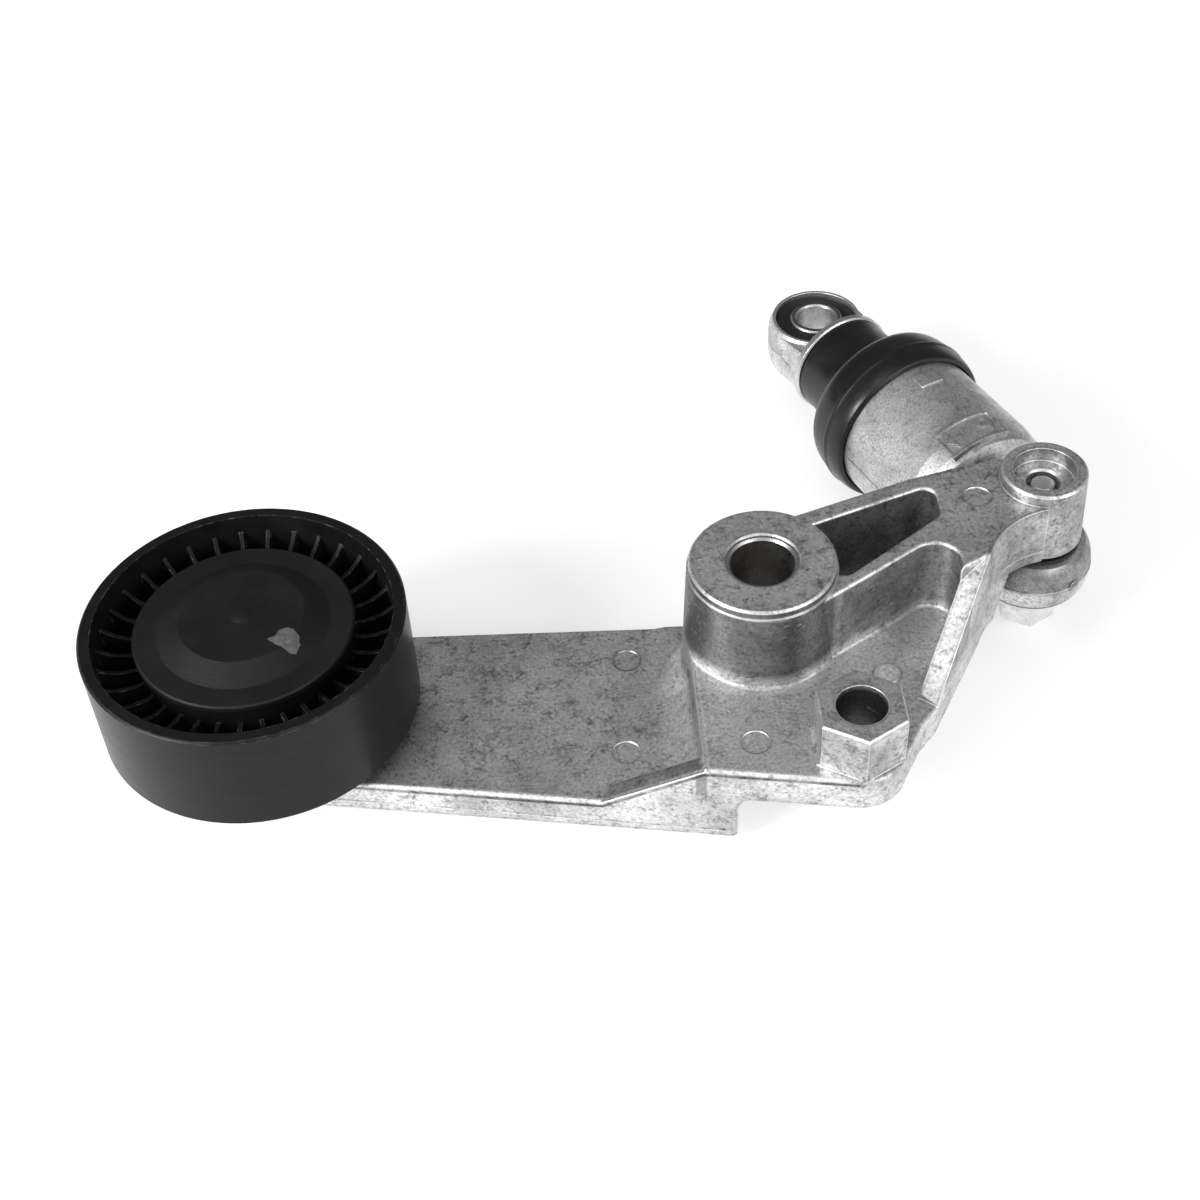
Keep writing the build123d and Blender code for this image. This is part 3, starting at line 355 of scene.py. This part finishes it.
def step_and_front_edges(s, at, colour, rubs, speckle, edge_light):
    """Worn ridge and foot of the step, and a bright band on the front wall's upper edge, partly worn and
    partly painted highlight, with a line of painted shade under it.
    """
    ridge = s.both(s.band(at.x, -17.6, -16.2, 0.4), s.band(at.z, 25.4, 27.2, 0.8), s.past(at.y, 15, 12))
    foot = s.both(s.band(at.x, -25.5, -20.5, 2.5), s.past(at.z, 11, 12), s.past(at.front, 39.5, 38.5), 0.5)
    edge = s.both(s.past(at.front, 42.9, 43.3), at.upward, s.past(at.x, 14, 12))
    # bright band: worn on the step's ridge and foot; partly worn and partly painted highlight on the front
    # wall's upper edge
    bright_edges = s.both(s.either(ridge, foot, edge), s.uneven(speckle, 0.25, 0.95))
    colour = s.mix(bright_edges, colour, edge_light)
    # height of the front wall's upper edge, which climbs from the bar to the plate
    crest = s.fade(at.x, SLOPE_START_X * MM, STEP_X * MM, BAR_TOP * MM, PLATE_TOP * MM)
    under_crest = s.band(s.math("SUBTRACT", crest, at.z), 0.95, 1.55, 0.3)
    # painted shade: a dark line just under the front wall's upper edge
    line = s.both(s.past(at.front, 43.6, 44.0), under_crest, s.past(at.x, 18, 16))
    return s.mix(s.both(line, s.uneven(rubs, 0.9, 0.5)), colour, 0.03)


def pin_marks(s, at, colour, rubs):
    """Ejector-pin marks and the pip, each ringed with a darker line."""
    for centre, radius in [(mark, PIN_MARK_R) for mark in PIN_MARKS] + [(PIP, PIP_R + 0.1)]:
        ring = s.band(s.reach(mm(*centre)), radius - 0.15, radius + 0.2, 0.2)
        colour = s.mix(s.both(ring, at.upward, s.uneven(rubs, 0.75, 0.35)), colour, 0.05)
    return colour


def arm_detail(s, colour, rubs, edge_light):
    """Marks that belong to places on the arm, from its bright plate to the painted shade inside the hex's
    hole.
    """
    at = ArmPlaces(s)
    speckle = s.fade(s.noise(900, detail=4, roughness=0.8), 0.40, 0.56)
    plate = s.both(s.band(at.z, 25.6, 26.9, 0.3), s.past(at.x, -17, -15), s.past(at.x, 42, 40), at.level)
    colour = s.mix(s.both(plate, 0.36), colour, 0.80)
    # painted shade on the walls of the boss, hex, neck, truss and step
    colour = painted_shade_on_walls(s, at, colour, rubs)
    # worn step edges, and painted highlight with painted shade under it along the front wall's upper edge
    colour = step_and_front_edges(s, at, colour, rubs, speckle, edge_light)
    colour = pin_marks(s, at, colour, rubs)
    bright_pip = s.both(s.past(s.reach(mm(*PIP)), PIP_R - 0.1, PIP_R - 0.3), s.past(at.z, 26.3, 26.5))
    colour = s.mix(s.both(bright_pip, s.uneven(speckle, 0.3, 0.8)), colour, edge_light)
    # painted shade: the inside of the hex's hole is darkened nearly to black
    hole = s.both(s.past(at.from_hex, HEX_HOLE_R + 0.3, HEX_HOLE_R + 0.1),
                  s.past(at.z, HEX_TOP - 0.5, HEX_TOP - 1.7), 0.9)
    return s.mix(hole, colour, 0.015)


def plain_metal(name, tone, roughness_low, roughness_high, scale, edge_light=0.9, tint=(1.0, 1.0, 1.0),
                sleeve=False):
    """Turned, plated or ground steel: even tone, fine smears, worn edges; a sleeve's end face is darker."""
    s = Shader(name)
    smears = s.noise(scale, detail=6, roughness=0.6, distortion=0.4)
    low = tuple(tone * 0.72 * c for c in tint)
    high = tuple(min(1.0, tone * 1.18) * c for c in tint)
    colour = s.ramp(smears, (0.32, low), (0.68, high))
    colour = s.mix(s.edges(0.3 * MM), colour, edge_light)
    if sleeve:
        face = s.both(s.band(s.reach(TOP_EYE), 5.9, 7.6, 0.2), s.fade(s.facing()[2], 0.8, 0.95))
        colour = s.mix(s.both(face, s.fade(smears, 0.3, 0.7, 0.85, 0.6)), colour, 0.06)
    roughness = s.fade(smears, 0.3, 0.7, roughness_high, roughness_low)
    normal = s.bump(s.noise(3200, detail=2), 0.012 * MM, s.rounded_normal(0.15 * MM), 0.5)
    return s.finish(Base_Color=colour, Metallic=1.0, Roughness=roughness, Normal=normal)


def rubber(name, tone, roughness, grain=0.02, scale=900):
    """Moulded rubber: near-black, faint bloom, fine skin."""
    s = Shader(name)
    bloom = s.noise(160, detail=7, roughness=0.62, distortion=0.5)
    colour = s.ramp(bloom, (0.35, tone * 0.7), (0.62, tone), (0.80, tone * 1.9))
    rough = s.fade(bloom, 0.3, 0.75, roughness - 0.06, roughness + 0.12)
    normal = s.bump(s.noise(scale, detail=4), grain * MM, None, 0.7)
    return s.finish(Base_Color=colour, Roughness=rough, Specular_IOR_Level=0.38, Normal=normal)


def pulley_plastic(name):
    """Glass-filled black nylon: matt faces, scuffed rim edges and a running face polished by the belt."""
    s = Shader(name)
    running_face = s.past(s.reach(PULLEY_AXIS), 37.6, 37.9)
    clouds = s.noise(130, detail=7, roughness=0.65)
    colour = s.ramp(clouds, (0.3, 0.002), (0.7, 0.005))
    stretched = s.add("ShaderNodeMapping", {"Vector": s.place, "Scale": (0.4, 0.4, 7.0)}).outputs[0]
    polish = s.noise(160, detail=6, roughness=0.6, place=stretched)
    face_colour = s.ramp(polish, (0.35, 0.002), (0.65, 0.005))
    colour = s.mix(running_face, colour, face_colour)
    scuffs = s.fade(s.noise(420, detail=6, roughness=0.7), 0.50, 0.62)
    colour = s.mix(s.both(s.edges(0.5 * MM), scuffs, 0.5), colour, 0.16)
    matt = s.fade(clouds, 0.3, 0.7, 0.46, 0.60)
    polished = s.fade(polish, 0.3, 0.7, 0.30, 0.38)
    roughness = s.mix(running_face, matt, polished)
    normal = s.bump(s.noise(1500, detail=4), 0.03 * MM, s.rounded_normal(0.3 * MM), 0.5)
    return s.finish(Base_Color=colour, Roughness=roughness, Specular_IOR_Level=0.19, Normal=normal)


def cap_plastic(name):
    """Moulded dust cap with a spark-eroded grain."""
    s = Shader(name)
    clouds = s.noise(90, detail=8, roughness=0.62)
    colour = s.ramp(clouds, (0.32, 0.003), (0.68, 0.006))
    roughness = s.fade(clouds, 0.3, 0.7, 0.50, 0.62)
    normal = s.bump(s.cells(2100), 0.05 * MM, s.rounded_normal(0.3 * MM), 0.55)
    normal = s.bump(s.noise(700, detail=5), 0.05 * MM, normal, 0.5)
    return s.finish(Base_Color=colour, Roughness=roughness, Specular_IOR_Level=0.24, Normal=normal)


def flake_film(name):
    """Pale dried film where a label or drip has flaked away."""
    s = Shader(name)
    colour = s.ramp(s.noise(900, detail=5, roughness=0.7), (0.35, 0.05), (0.6, 0.085), (0.8, 0.13))
    normal = s.bump(s.noise(2400, detail=3), 0.04 * MM)
    return s.finish(Base_Color=colour, Roughness=0.62, Normal=normal)


finishes = {
    "arm_casting": cast_metal("arm_casting", tone=0.58, patch_scale=48, stain=0.62, edge_light=0.86,
                              wear_and_highlight=0.9, detail=arm_detail),
    # the damper casting's housing middle has near-black edge lines of painted shade
    "damper_casting": cast_metal("damper_casting", tone=0.57, patch_scale=80, stain=0.34, edge_light=0.92,
                                 wear_and_highlight=0.5, detail=damper_detail, painted_shade_lines=housing_middle),
    # tone, lowest and highest roughness, scale of the smears
    "bush_bronze": plain_metal("bush_bronze", 0.40, 0.26, 0.42, 320, 0.80, (1.0, 0.98, 0.95)),
    "turned_steel": plain_metal("turned_steel", 0.62, 0.20, 0.38, 260, sleeve=True),
    "zinc_steel": plain_metal("zinc_steel", 0.82, 0.24, 0.42, 220),
    "bearing_steel": plain_metal("bearing_steel", 0.66, 0.12, 0.24, 300),
    "chromed_rod": plain_metal("chromed_rod", 0.78, 0.06, 0.14, 200),
    "spring_steel": plain_metal("spring_steel", 0.30, 0.28, 0.44, 340),
    # tone, roughness, height of the grain in mm, scale of the grain
    "cage_polymer": rubber("cage_polymer", 0.05, 0.42, 0.01),
    "seal_rubber": rubber("seal_rubber", 0.016, 0.45),
    "bush_rubber": rubber("bush_rubber", 0.012, 0.52, 0.04, 1200),
    "boot_rubber": rubber("boot_rubber", 0.006, 0.30, 0.03, 800),
    "pulley_plastic": pulley_plastic("pulley_plastic"),
    "cap_plastic": cap_plastic("cap_plastic"),
    "flake_film": flake_film("flake_film"),
}
for node in nodes.values():
    for i, packed in enumerate(node.data.materials):
        node.data.materials[i] = finishes[packed.name]

# ---------------------------------------------------------------- mesh helpers


def piece(name, mesh, body, slot, smooth=True, finish=None):
    """Adds a mesh as a piece in a slot; it rides on a body and has the slot's finish unless one is given."""
    obj = bpy.data.objects.new(name, mesh)
    bpy.context.scene.collection.objects.link(obj)
    mesh.materials.append(finishes[finish or slot])
    mesh.polygons.foreach_set("use_smooth", [smooth] * len(mesh.polygons))
    if body:
        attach(obj, body)
    return obj


def spline(points, steps):
    """Smooth line through the points, open, with so many steps between each two."""
    points = [Vector(p) for p in points]
    ends = [points[0] * 2 - points[1], *points, points[-1] * 2 - points[-2]]
    out = []
    for a, b, c, d in zip(ends, ends[1:], ends[2:], ends[3:]):
        for i in range(steps):
            t = i / steps
            out.append(0.5 * (2 * b + (c - a) * t + (2 * a - 5 * b + 4 * c - d) * t * t
                              + (3 * b - a - 3 * c + d) * t * t * t))
    return out + [points[-1]]


def face_outwards(mesh, fill_ends=False):
    """Turns every face outwards, after closing the open ends if asked to."""
    work = bmesh.new()
    work.from_mesh(mesh)
    if fill_ends:
        bmesh.ops.holes_fill(work, edges=[e for e in work.edges if e.is_boundary], sides=0)
    bmesh.ops.recalc_face_normals(work, faces=work.faces)
    work.to_mesh(mesh)
    work.free()


def new_mesh(name, vertices, faces):
    mesh = bpy.data.meshes.new(name)
    mesh.from_pydata(vertices, [], faces)
    return mesh


def grid_mesh(name, rows, close_columns=True):
    """Mesh through closed rows of points, each with as many points as the next."""
    count = len(rows[0])
    vertices = [p for row in rows for p in row]
    faces = []
    for i in range(len(rows) if close_columns else len(rows) - 1):
        this_row = i * count
        next_row = (i + 1) % len(rows) * count
        for j in range(count):
            n = (j + 1) % count
            faces.append((this_row + j, this_row + n, next_row + n, next_row + j))
    mesh = new_mesh(name, vertices, faces)
    face_outwards(mesh)
    return mesh


def lathe(name, profile, centre, axis, first, segments):
    """Closed outline of (along, radius) points in mm, turned round an axis."""
    second = axis.cross(first)
    rows = []
    for along, radius in profile:
        row = []
        for j in range(segments):
            a = 2 * pi * j / segments
            row.append(centre + axis * along * MM + (first * cos(a) + second * sin(a)) * radius * MM)
        rows.append(row)
    return grid_mesh(name, rows)


def sweep(name, points, radii, sides):
    """Round tube through points, with closed ends and a radius in metres at each point."""
    rows = []
    last = len(points) - 1
    lift = None
    for i, point in enumerate(points):
        run = (points[min(i + 1, last)] - points[max(i - 1, 0)]).normalized()
        if lift is None:
            lift = run.orthogonal().normalized()
        lift = (lift - run * lift.dot(run)).normalized()
        side = run.cross(lift)
        rows.append([point + (lift * cos(2 * pi * j / sides) + side * sin(2 * pi * j / sides)) * radii[i]
                     for j in range(sides)])
    mesh = grid_mesh(name, rows, close_columns=False)
    face_outwards(mesh, fill_ends=True)
    return mesh


def surface_tree(node):
    mesh = nodes[node].data
    return BVHTree.FromPolygons([v.co for v in mesh.vertices], [p.vertices for p in mesh.polygons])


# ---------------------------------------------------------------- damper: boot, spring and bushes
# the boot's places are (mm along the damper, radius in mm)
BOOT_OUTSIDE = [(53.2, 20.9), (53.8, 22.0), (57.0, 22.6), (62.0, 22.5), (66.8, 21.4), (69.4, 18.4),
                (71.0, 15.7), (73.0, 14.5), (80.0, 13.9), (85.5, 13.9)]
BOOT_WALL = 1.3
BOOT_INSIDE_ENDS = (53.3, 85.4)
BOOT_SEAM = 59.3
BOOT_SEAM_HEIGHT = 0.35
BOOT_SEAM_HALF_WIDTH = 0.5


def boot_profile():
    """Outline of the boot's wall: smooth outside with a raised moulding line, and the inside in parallel."""
    outside = [(p.x, p.y) for p in spline([(along, radius, 0) for along, radius in BOOT_OUTSIDE], 10)]
    inside = []
    for i, (along, radius) in enumerate(outside):
        before, after = outside[max(i - 1, 0)], outside[min(i + 1, len(outside) - 1)]
        run = Vector((after[0] - before[0], after[1] - before[1])).normalized()
        inside.append((along + run.y * BOOT_WALL, radius - run.x * BOOT_WALL))
    raised = []
    for along, radius in outside:
        share = max(0.0, 1 - abs(along - BOOT_SEAM) / BOOT_SEAM_HALF_WIDTH)
        raised.append((along, radius + BOOT_SEAM_HEIGHT * share))
    kept = [p for p in inside if BOOT_INSIDE_ENDS[0] < p[0] < BOOT_INSIDE_ENDS[1]]
    return raised + kept[::-1]


boot_mesh = lathe("boot_skin", boot_profile(), DAMPER_START, ALONG, UP, 192)
boot = piece("boot_skin", boot_mesh, None, "boot_rubber")
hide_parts("boot")
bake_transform(boot)


def reach_along(node):
    """Lowest and highest distance of a CAD node along the damper's axis, in mm."""
    distances = [(v.co - DAMPER_START).dot(ALONG) / MM for v in nodes[node].data.vertices]
    return min(distances), max(distances)


# radius of the coil and thickness of its wire, in mm
SPRING_R = 10.0
SPRING_WIRE = 2.8
SPRING_TURNS = 6.2
SPRING_STEPS = 360
# the wire climbs little over this share of its length at each end
SPRING_END = 0.13
# share of the climb that is spread evenly over the whole wire
SPRING_EVEN_CLIMB = 0.10
spring_low, spring_high = reach_along("damper_spring")
spring_points = []
for i in range(SPRING_STEPS + 1):
    t = i / SPRING_STEPS
    middle_climb = min(max((t - SPRING_END) / (1 - 2 * SPRING_END), 0.0), 1.0)
    climb = SPRING_EVEN_CLIMB * t + (1 - SPRING_EVEN_CLIMB) * middle_climb
    along = spring_low + SPRING_WIRE / 2 + (spring_high - spring_low - SPRING_WIRE) * climb
    spring_points.append(damper_point(along, SPRING_R, 2 * pi * SPRING_TURNS * t))
spring_radii = [SPRING_WIRE / 2 * MM] * len(spring_points)
coil = piece("spring_coil", sweep("spring_coil", spring_points, spring_radii, 14), None, "spring_steel")
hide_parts("damper_spring")
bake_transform(coil)


def eye_bush(name, node, body, centre, sleeve_r, bore_r, half, lip_r, lip):
    """Rubber bush moulded between an eye and its sleeve: hollow ends and a lip over the eye's face."""
    gap = 0.06
    top = [(half - lip, bore_r - gap), (half - lip + 0.25, bore_r + 0.3), (half - lip + 0.3, lip_r - 0.4),
           (half - lip * 0.5, lip_r), (half - 0.1, lip_r - 0.5), (half, lip_r - 1.1),
           (half - 0.9, (sleeve_r + lip_r) / 2), (half - 1.3, sleeve_r + 1.0), (half - 0.4, sleeve_r + gap)]
    bottom = [(-along, radius) for along, radius in reversed(top)]
    obj = piece(name, lathe(name, top + bottom, centre, UP, Vector((1, 0, 0)), 128), body, "bush_rubber")
    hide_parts(node)
    return obj


eye_bush("lower_bush_rubber", "lower_eye_bush", "damper_body", LOWER_EYE,
         sleeve_r=6.5, bore_r=10.2, half=7.0, lip_r=10.6, lip=0.5)
eye_bush("top_bush_rubber", "top_eye_bush", "damper_rod", TOP_EYE,
         sleeve_r=7.1, bore_r=11.2, half=6.2, lip_r=11.0, lip=0.6)

# ---------------------------------------------------------------- casting detail
arm_tree = surface_tree("arm")


def on_surface(tree, point, direction):
    """Where a ray from the point first meets the surface, and the normal there."""
    hit, normal, _, _ = tree.ray_cast(point, direction)
    return hit, normal


def seam(name, tree, rays, body, slot, height, unevenness=0.5):
    """Parting-line flash: an uneven bead along the places where (start, direction) rays meet the surface."""
    wave_scale = 180
    sink = 0.12 * MM
    least_radius = 0.05 * MM
    points, radii = [], []
    for start, direction in rays:
        hit, normal = on_surface(tree, start, direction)
        if hit is None:
            continue
        wave = noise.noise(hit * wave_scale) + 0.6 * noise.noise(hit * wave_scale * 3.1)
        radius = height * (1 + unevenness * wave) * MM
        points.append(hit + normal * (radius - sink))
        radii.append(max(radius, least_radius))
    return piece(name, sweep(name, points, radii, 8), body, slot)


def rays_from_line(start, end, count, direction):
    """Rays in one direction, whose starts lie evenly on a line."""
    return [(start.lerp(end, i / (count - 1)), direction) for i in range(count)]


def rays_from_circle(centre, radius, outwards):
    """Rays that look inwards at the centre from a radius in mm, one for each outward direction."""
    return [(centre + out * radius * MM, -out) for out in outwards]


# parting line of the two die halves: along the arm's front wall, round the plate's corner and on the neck
INTO_FRONT = Vector((0, 1, 0))
bar_rays = rays_from_line(mm(-140, -70, 6.6), mm(-13, -70, 5.4), 150, INTO_FRONT)
seam("bar_parting_line", arm_tree, bar_rays, "arm", "arm_casting", 0.20, unevenness=0.9)
plate_rays = rays_from_line(mm(-8, -70, 20.6), mm(16, -70, 20.4), 40, INTO_FRONT)
seam("plate_parting_line", arm_tree, plate_rays, "arm", "arm_casting", 0.16)
corner_turns = [radians(-100 + 62 * i / 30) for i in range(31)]
corner_rays = rays_from_circle(mm(*HEX, 20.6), 30, [Vector((cos(a), sin(a), 0)) for a in corner_turns])
seam("corner_parting_line", arm_tree, corner_rays, "arm", "arm_casting", 0.16)
into_neck = Vector((-0.78, 0.62, 0)).normalized()
neck_rays = rays_from_line(mm(67, -12, 32.0), mm(79, 5, 33.0), 60, into_neck)
seam("neck_parting_line", arm_tree, neck_rays, "arm", "arm_casting", 0.12)


def eye_seam(name, node, body, centre, open_towards, open_angle, height):
    """Parting line round an eye, left open where the shank joins it."""
    steps = 140
    turns = [open_angle / 2 + (2 * pi - open_angle) * i / steps for i in range(steps + 1)]
    outwards = [Matrix.Rotation(turn, 3, "Z") @ open_towards for turn in turns]
    rays = rays_from_circle(centre, 40, outwards)
    return seam(name, surface_tree(node), rays, body, "damper_casting", height)


eye_seam("lower_eye_parting_line", "damper_housing", "damper_body", LOWER_EYE, ALONG, radians(110), 0.22)
eye_seam("top_eye_parting_line", "top_eye", "damper_rod", TOP_EYE, -ALONG, radians(120), 0.16)
for side, sign in (("left", -1), ("right", 1)):
    turn = sign * pi / 2
    rays = rays_from_line(damper_point(25, 45, turn), damper_point(52, 45, turn), 61, -sign * ACROSS)
    seam(f"housing_parting_line_{side}", surface_tree("damper_housing"), rays,
         "damper_body", "damper_casting", 0.14)


def wrapped(name, outline, rise):
    """Raised flat shape on the housing; the outline is (mm along the damper, degrees round it)."""
    sink = 0.2
    low, high = HOUSING_R / MM - sink, HOUSING_R / MM + rise
    bottom = [damper_point(along, low, radians(angle)) for along, angle in outline]
    top = [damper_point(along, high, radians(angle)) for along, angle in outline]
    count = len(outline)
    faces = [tuple(range(count, 2 * count))]
    faces += [(i, (i + 1) % count, count + (i + 1) % count, count + i) for i in range(count)]
    mesh = new_mesh(name, bottom + top, faces)
    face_outwards(mesh)
    return piece(name, mesh, "damper_body", "damper_casting", smooth=False)


# two plain arrows in the housing's panel, pointing both ways round it
for name, tail, tip in (("left", -14, -26), ("right", 1, 13)):
    neck = tail + (tip - tail) * 0.55
    arrow = [(25.2, tail), (25.2, neck), (23.3, neck), (25.9, tip), (28.5, neck), (26.6, neck), (26.6, tail)]
    wrapped(f"panel_arrow_{name}", arrow, 0.40)


def blob(name, centre, radius, squash, body, slot, seed):
    """Lump of excess metal: an uneven ball, flattened along the given vector."""
    work = bmesh.new()
    bmesh.ops.create_icosphere(work, subdivisions=4, radius=radius)
    for v in work.verts:
        bumpy = 1 + 0.28 * noise.noise(v.co * (1.6 / radius) + Vector((seed, 0, 0)))
        v.co *= bumpy
        v.co -= squash * v.co.dot(squash) * 0.55
        v.co += centre
    mesh = bpy.data.meshes.new(name)
    work.to_mesh(mesh)
    work.free()
    return piece(name, mesh, body, slot)


blob_out = Matrix.Rotation(radians(188), 3, "Z") @ ALONG
blob_at, _ = on_surface(surface_tree("damper_housing"), LOWER_EYE + blob_out * 40 * MM, -blob_out)
blob("eye_flash", blob_at, 1.7 * MM, blob_out, "damper_body", "damper_casting", 3.0)

# ---------------------------------------------------------------- worn flake on the dust cap
cap_tree = surface_tree("dust_cap")
FLAKE = [(6.4, -8.2), (8.3, -7.4), (9.2, -5.4), (11.0, -4.9), (12.6, -5.7), (13.7, -7.4), (14.1, -9.7),
         (13.3, -12.0), (12.0, -12.2), (10.6, -11.2), (9.4, -10.6), (7.9, -9.4)]
# share of the outline's size and height over the cap in mm, from the flake's edge inwards
FLAKE_RINGS = ((1.0, -0.05), (0.97, 0.07), (0.75, 0.09), (0.5, 0.09), (0.25, 0.09))


def flake_outline():
    """The flake's outline with four points to a side, shaken a little, in mm from the pulley's axis."""
    points = []
    for (x, y), (next_x, next_y) in zip(FLAKE, FLAKE[1:] + FLAKE[:1]):
        for t in (0, 0.25, 0.5, 0.75):
            edge = Vector((x + (next_x - x) * t, y + (next_y - y) * t))
            shake = noise.noise(Vector((edge.x * 2, edge.y * 2, 0)))
            points.append(edge + Vector((shake, 0)) * 0.35)
    return points


def on_cap(spot, lift):
    """Point so many mm over the cap's surface, at a spot in mm from the pulley's axis."""
    start = Vector((PULLEY_AXIS.x + spot.x * MM, PULLEY_AXIS.y + spot.y * MM, 0.1))
    hit, _ = on_surface(cap_tree, start, -UP)
    return hit + UP * lift * MM


def flake():
    """Thin film in rings that follow the cap, closed by one face in its middle."""
    centre = Vector((sum(x for x, _ in FLAKE), sum(y for _, y in FLAKE))) / len(FLAKE)
    outline = flake_outline()
    vertices = []
    for share, lift in FLAKE_RINGS:
        vertices += [on_cap(centre + (edge - centre) * share, lift) for edge in outline]
    count = len(outline)
    last = (len(FLAKE_RINGS) - 1) * count
    faces = []
    for ring in range(0, last, count):
        for i in range(count):
            n = (i + 1) % count
            faces.append((ring + i, ring + n, ring + count + n, ring + count + i))
    faces.append(tuple(range(last, last + count)))
    mesh = new_mesh("cap_flake", vertices, faces)
    return piece("cap_flake", mesh, "pulley", "cap_plastic", smooth=False, finish="flake_film")


flake()

# ---------------------------------------------------------------- floor, light and camera


def floor():
    """Pale floor that glows a little, so that the shadows on it stay faint."""
    half = 12.0
    corners = [(-half, -half, 0), (half, -half, 0), (half, half, 0), (-half, half, 0)]
    mesh = new_mesh("floor", corners, [(0, 1, 2, 3)])
    obj = bpy.data.objects.new("floor", mesh)
    bpy.context.scene.collection.objects.link(obj)
    s = Shader("floor_paint")
    colour = s.ramp(s.noise(3, detail=3), (0.3, 0.58), (0.7, 0.60))
    mesh.materials.append(s.finish(Base_Color=colour, Roughness=0.8, Emission_Color=(1, 1, 1, 1),
                                   Emission_Strength=0.50))
    return obj


def area_light(name, power, size, place, aim):
    data = bpy.data.lights.new(name, "AREA")
    data.energy = power
    data.shape = "RECTANGLE"
    data.size, data.size_y = size
    obj = bpy.data.objects.new(name, data)
    obj.location = place
    obj.rotation_euler = (Vector(aim) - Vector(place)).to_track_quat("-Z", "Y").to_euler()
    bpy.context.scene.collection.objects.link(obj)


def studio():
    """White surroundings, brighter on the camera's side of the part than behind it."""
    front, back = 0.76, 0.21
    world = bpy.data.worlds.new("studio")
    world.use_nodes = True
    sky = world.node_tree
    direction = sky.nodes.new("ShaderNodeSeparateXYZ")
    sky.links.new(sky.nodes.new("ShaderNodeTexCoord").outputs["Generated"], direction.inputs[0])
    backdrop = sky.nodes.new("ShaderNodeMapRange")
    backdrop.interpolation_type = "SMOOTHSTEP"
    for socket, value in (("From Min", -0.35), ("From Max", 0.45), ("To Min", front), ("To Max", back)):
        backdrop.inputs[socket].default_value = value
    sky.links.new(direction.outputs["Y"], backdrop.inputs["Value"])
    sky.links.new(backdrop.outputs["Result"], sky.nodes["Background"].inputs["Strength"])
    sky.nodes["Background"].inputs["Color"].default_value = (1, 1, 1, 1)
    return world


floor().location.z = cad_bounds[0][2]
subject = (Vector(cad_bounds[0]) + Vector(cad_bounds[1])) / 2
# name, power in watts, then size and place in metres
LIGHTS = (("key", 13.0, (0.5, 0.4), (-0.85, -0.45, 0.55)),
          ("fill", 6.5, (0.8, 0.5), (0.65, -0.75, 0.60)),
          ("overhead", 1.0, (0.5, 0.4), (-0.25, 0.0, 0.95)))
for light_name, power, size, place in LIGHTS:
    area_light(light_name, power, size, place, subject)
bpy.context.scene.world = studio()
bpy.context.scene.view_settings.view_transform = "Standard"

CAMERA_PLACE = (-0.040364, -0.309657, 0.351055)
CAMERA_HEADING, CAMERA_PITCH, CAMERA_ROLL = radians(-0.5), radians(44.87), radians(-3.86)
camera_data = bpy.data.cameras.new("camera")
camera_data.lens = 56.8
camera_data.sensor_width = 36.0
camera_data.clip_start = 0.01
camera = bpy.data.objects.new("camera", camera_data)
camera.matrix_world = (Matrix.Translation(CAMERA_PLACE) @ Matrix.Rotation(CAMERA_HEADING, 4, "Z")
                       @ Matrix.Rotation(CAMERA_PITCH, 4, "X") @ Matrix.Rotation(CAMERA_ROLL, 4, "Z"))
bpy.context.scene.collection.objects.link(camera)
bpy.context.scene.camera = camera
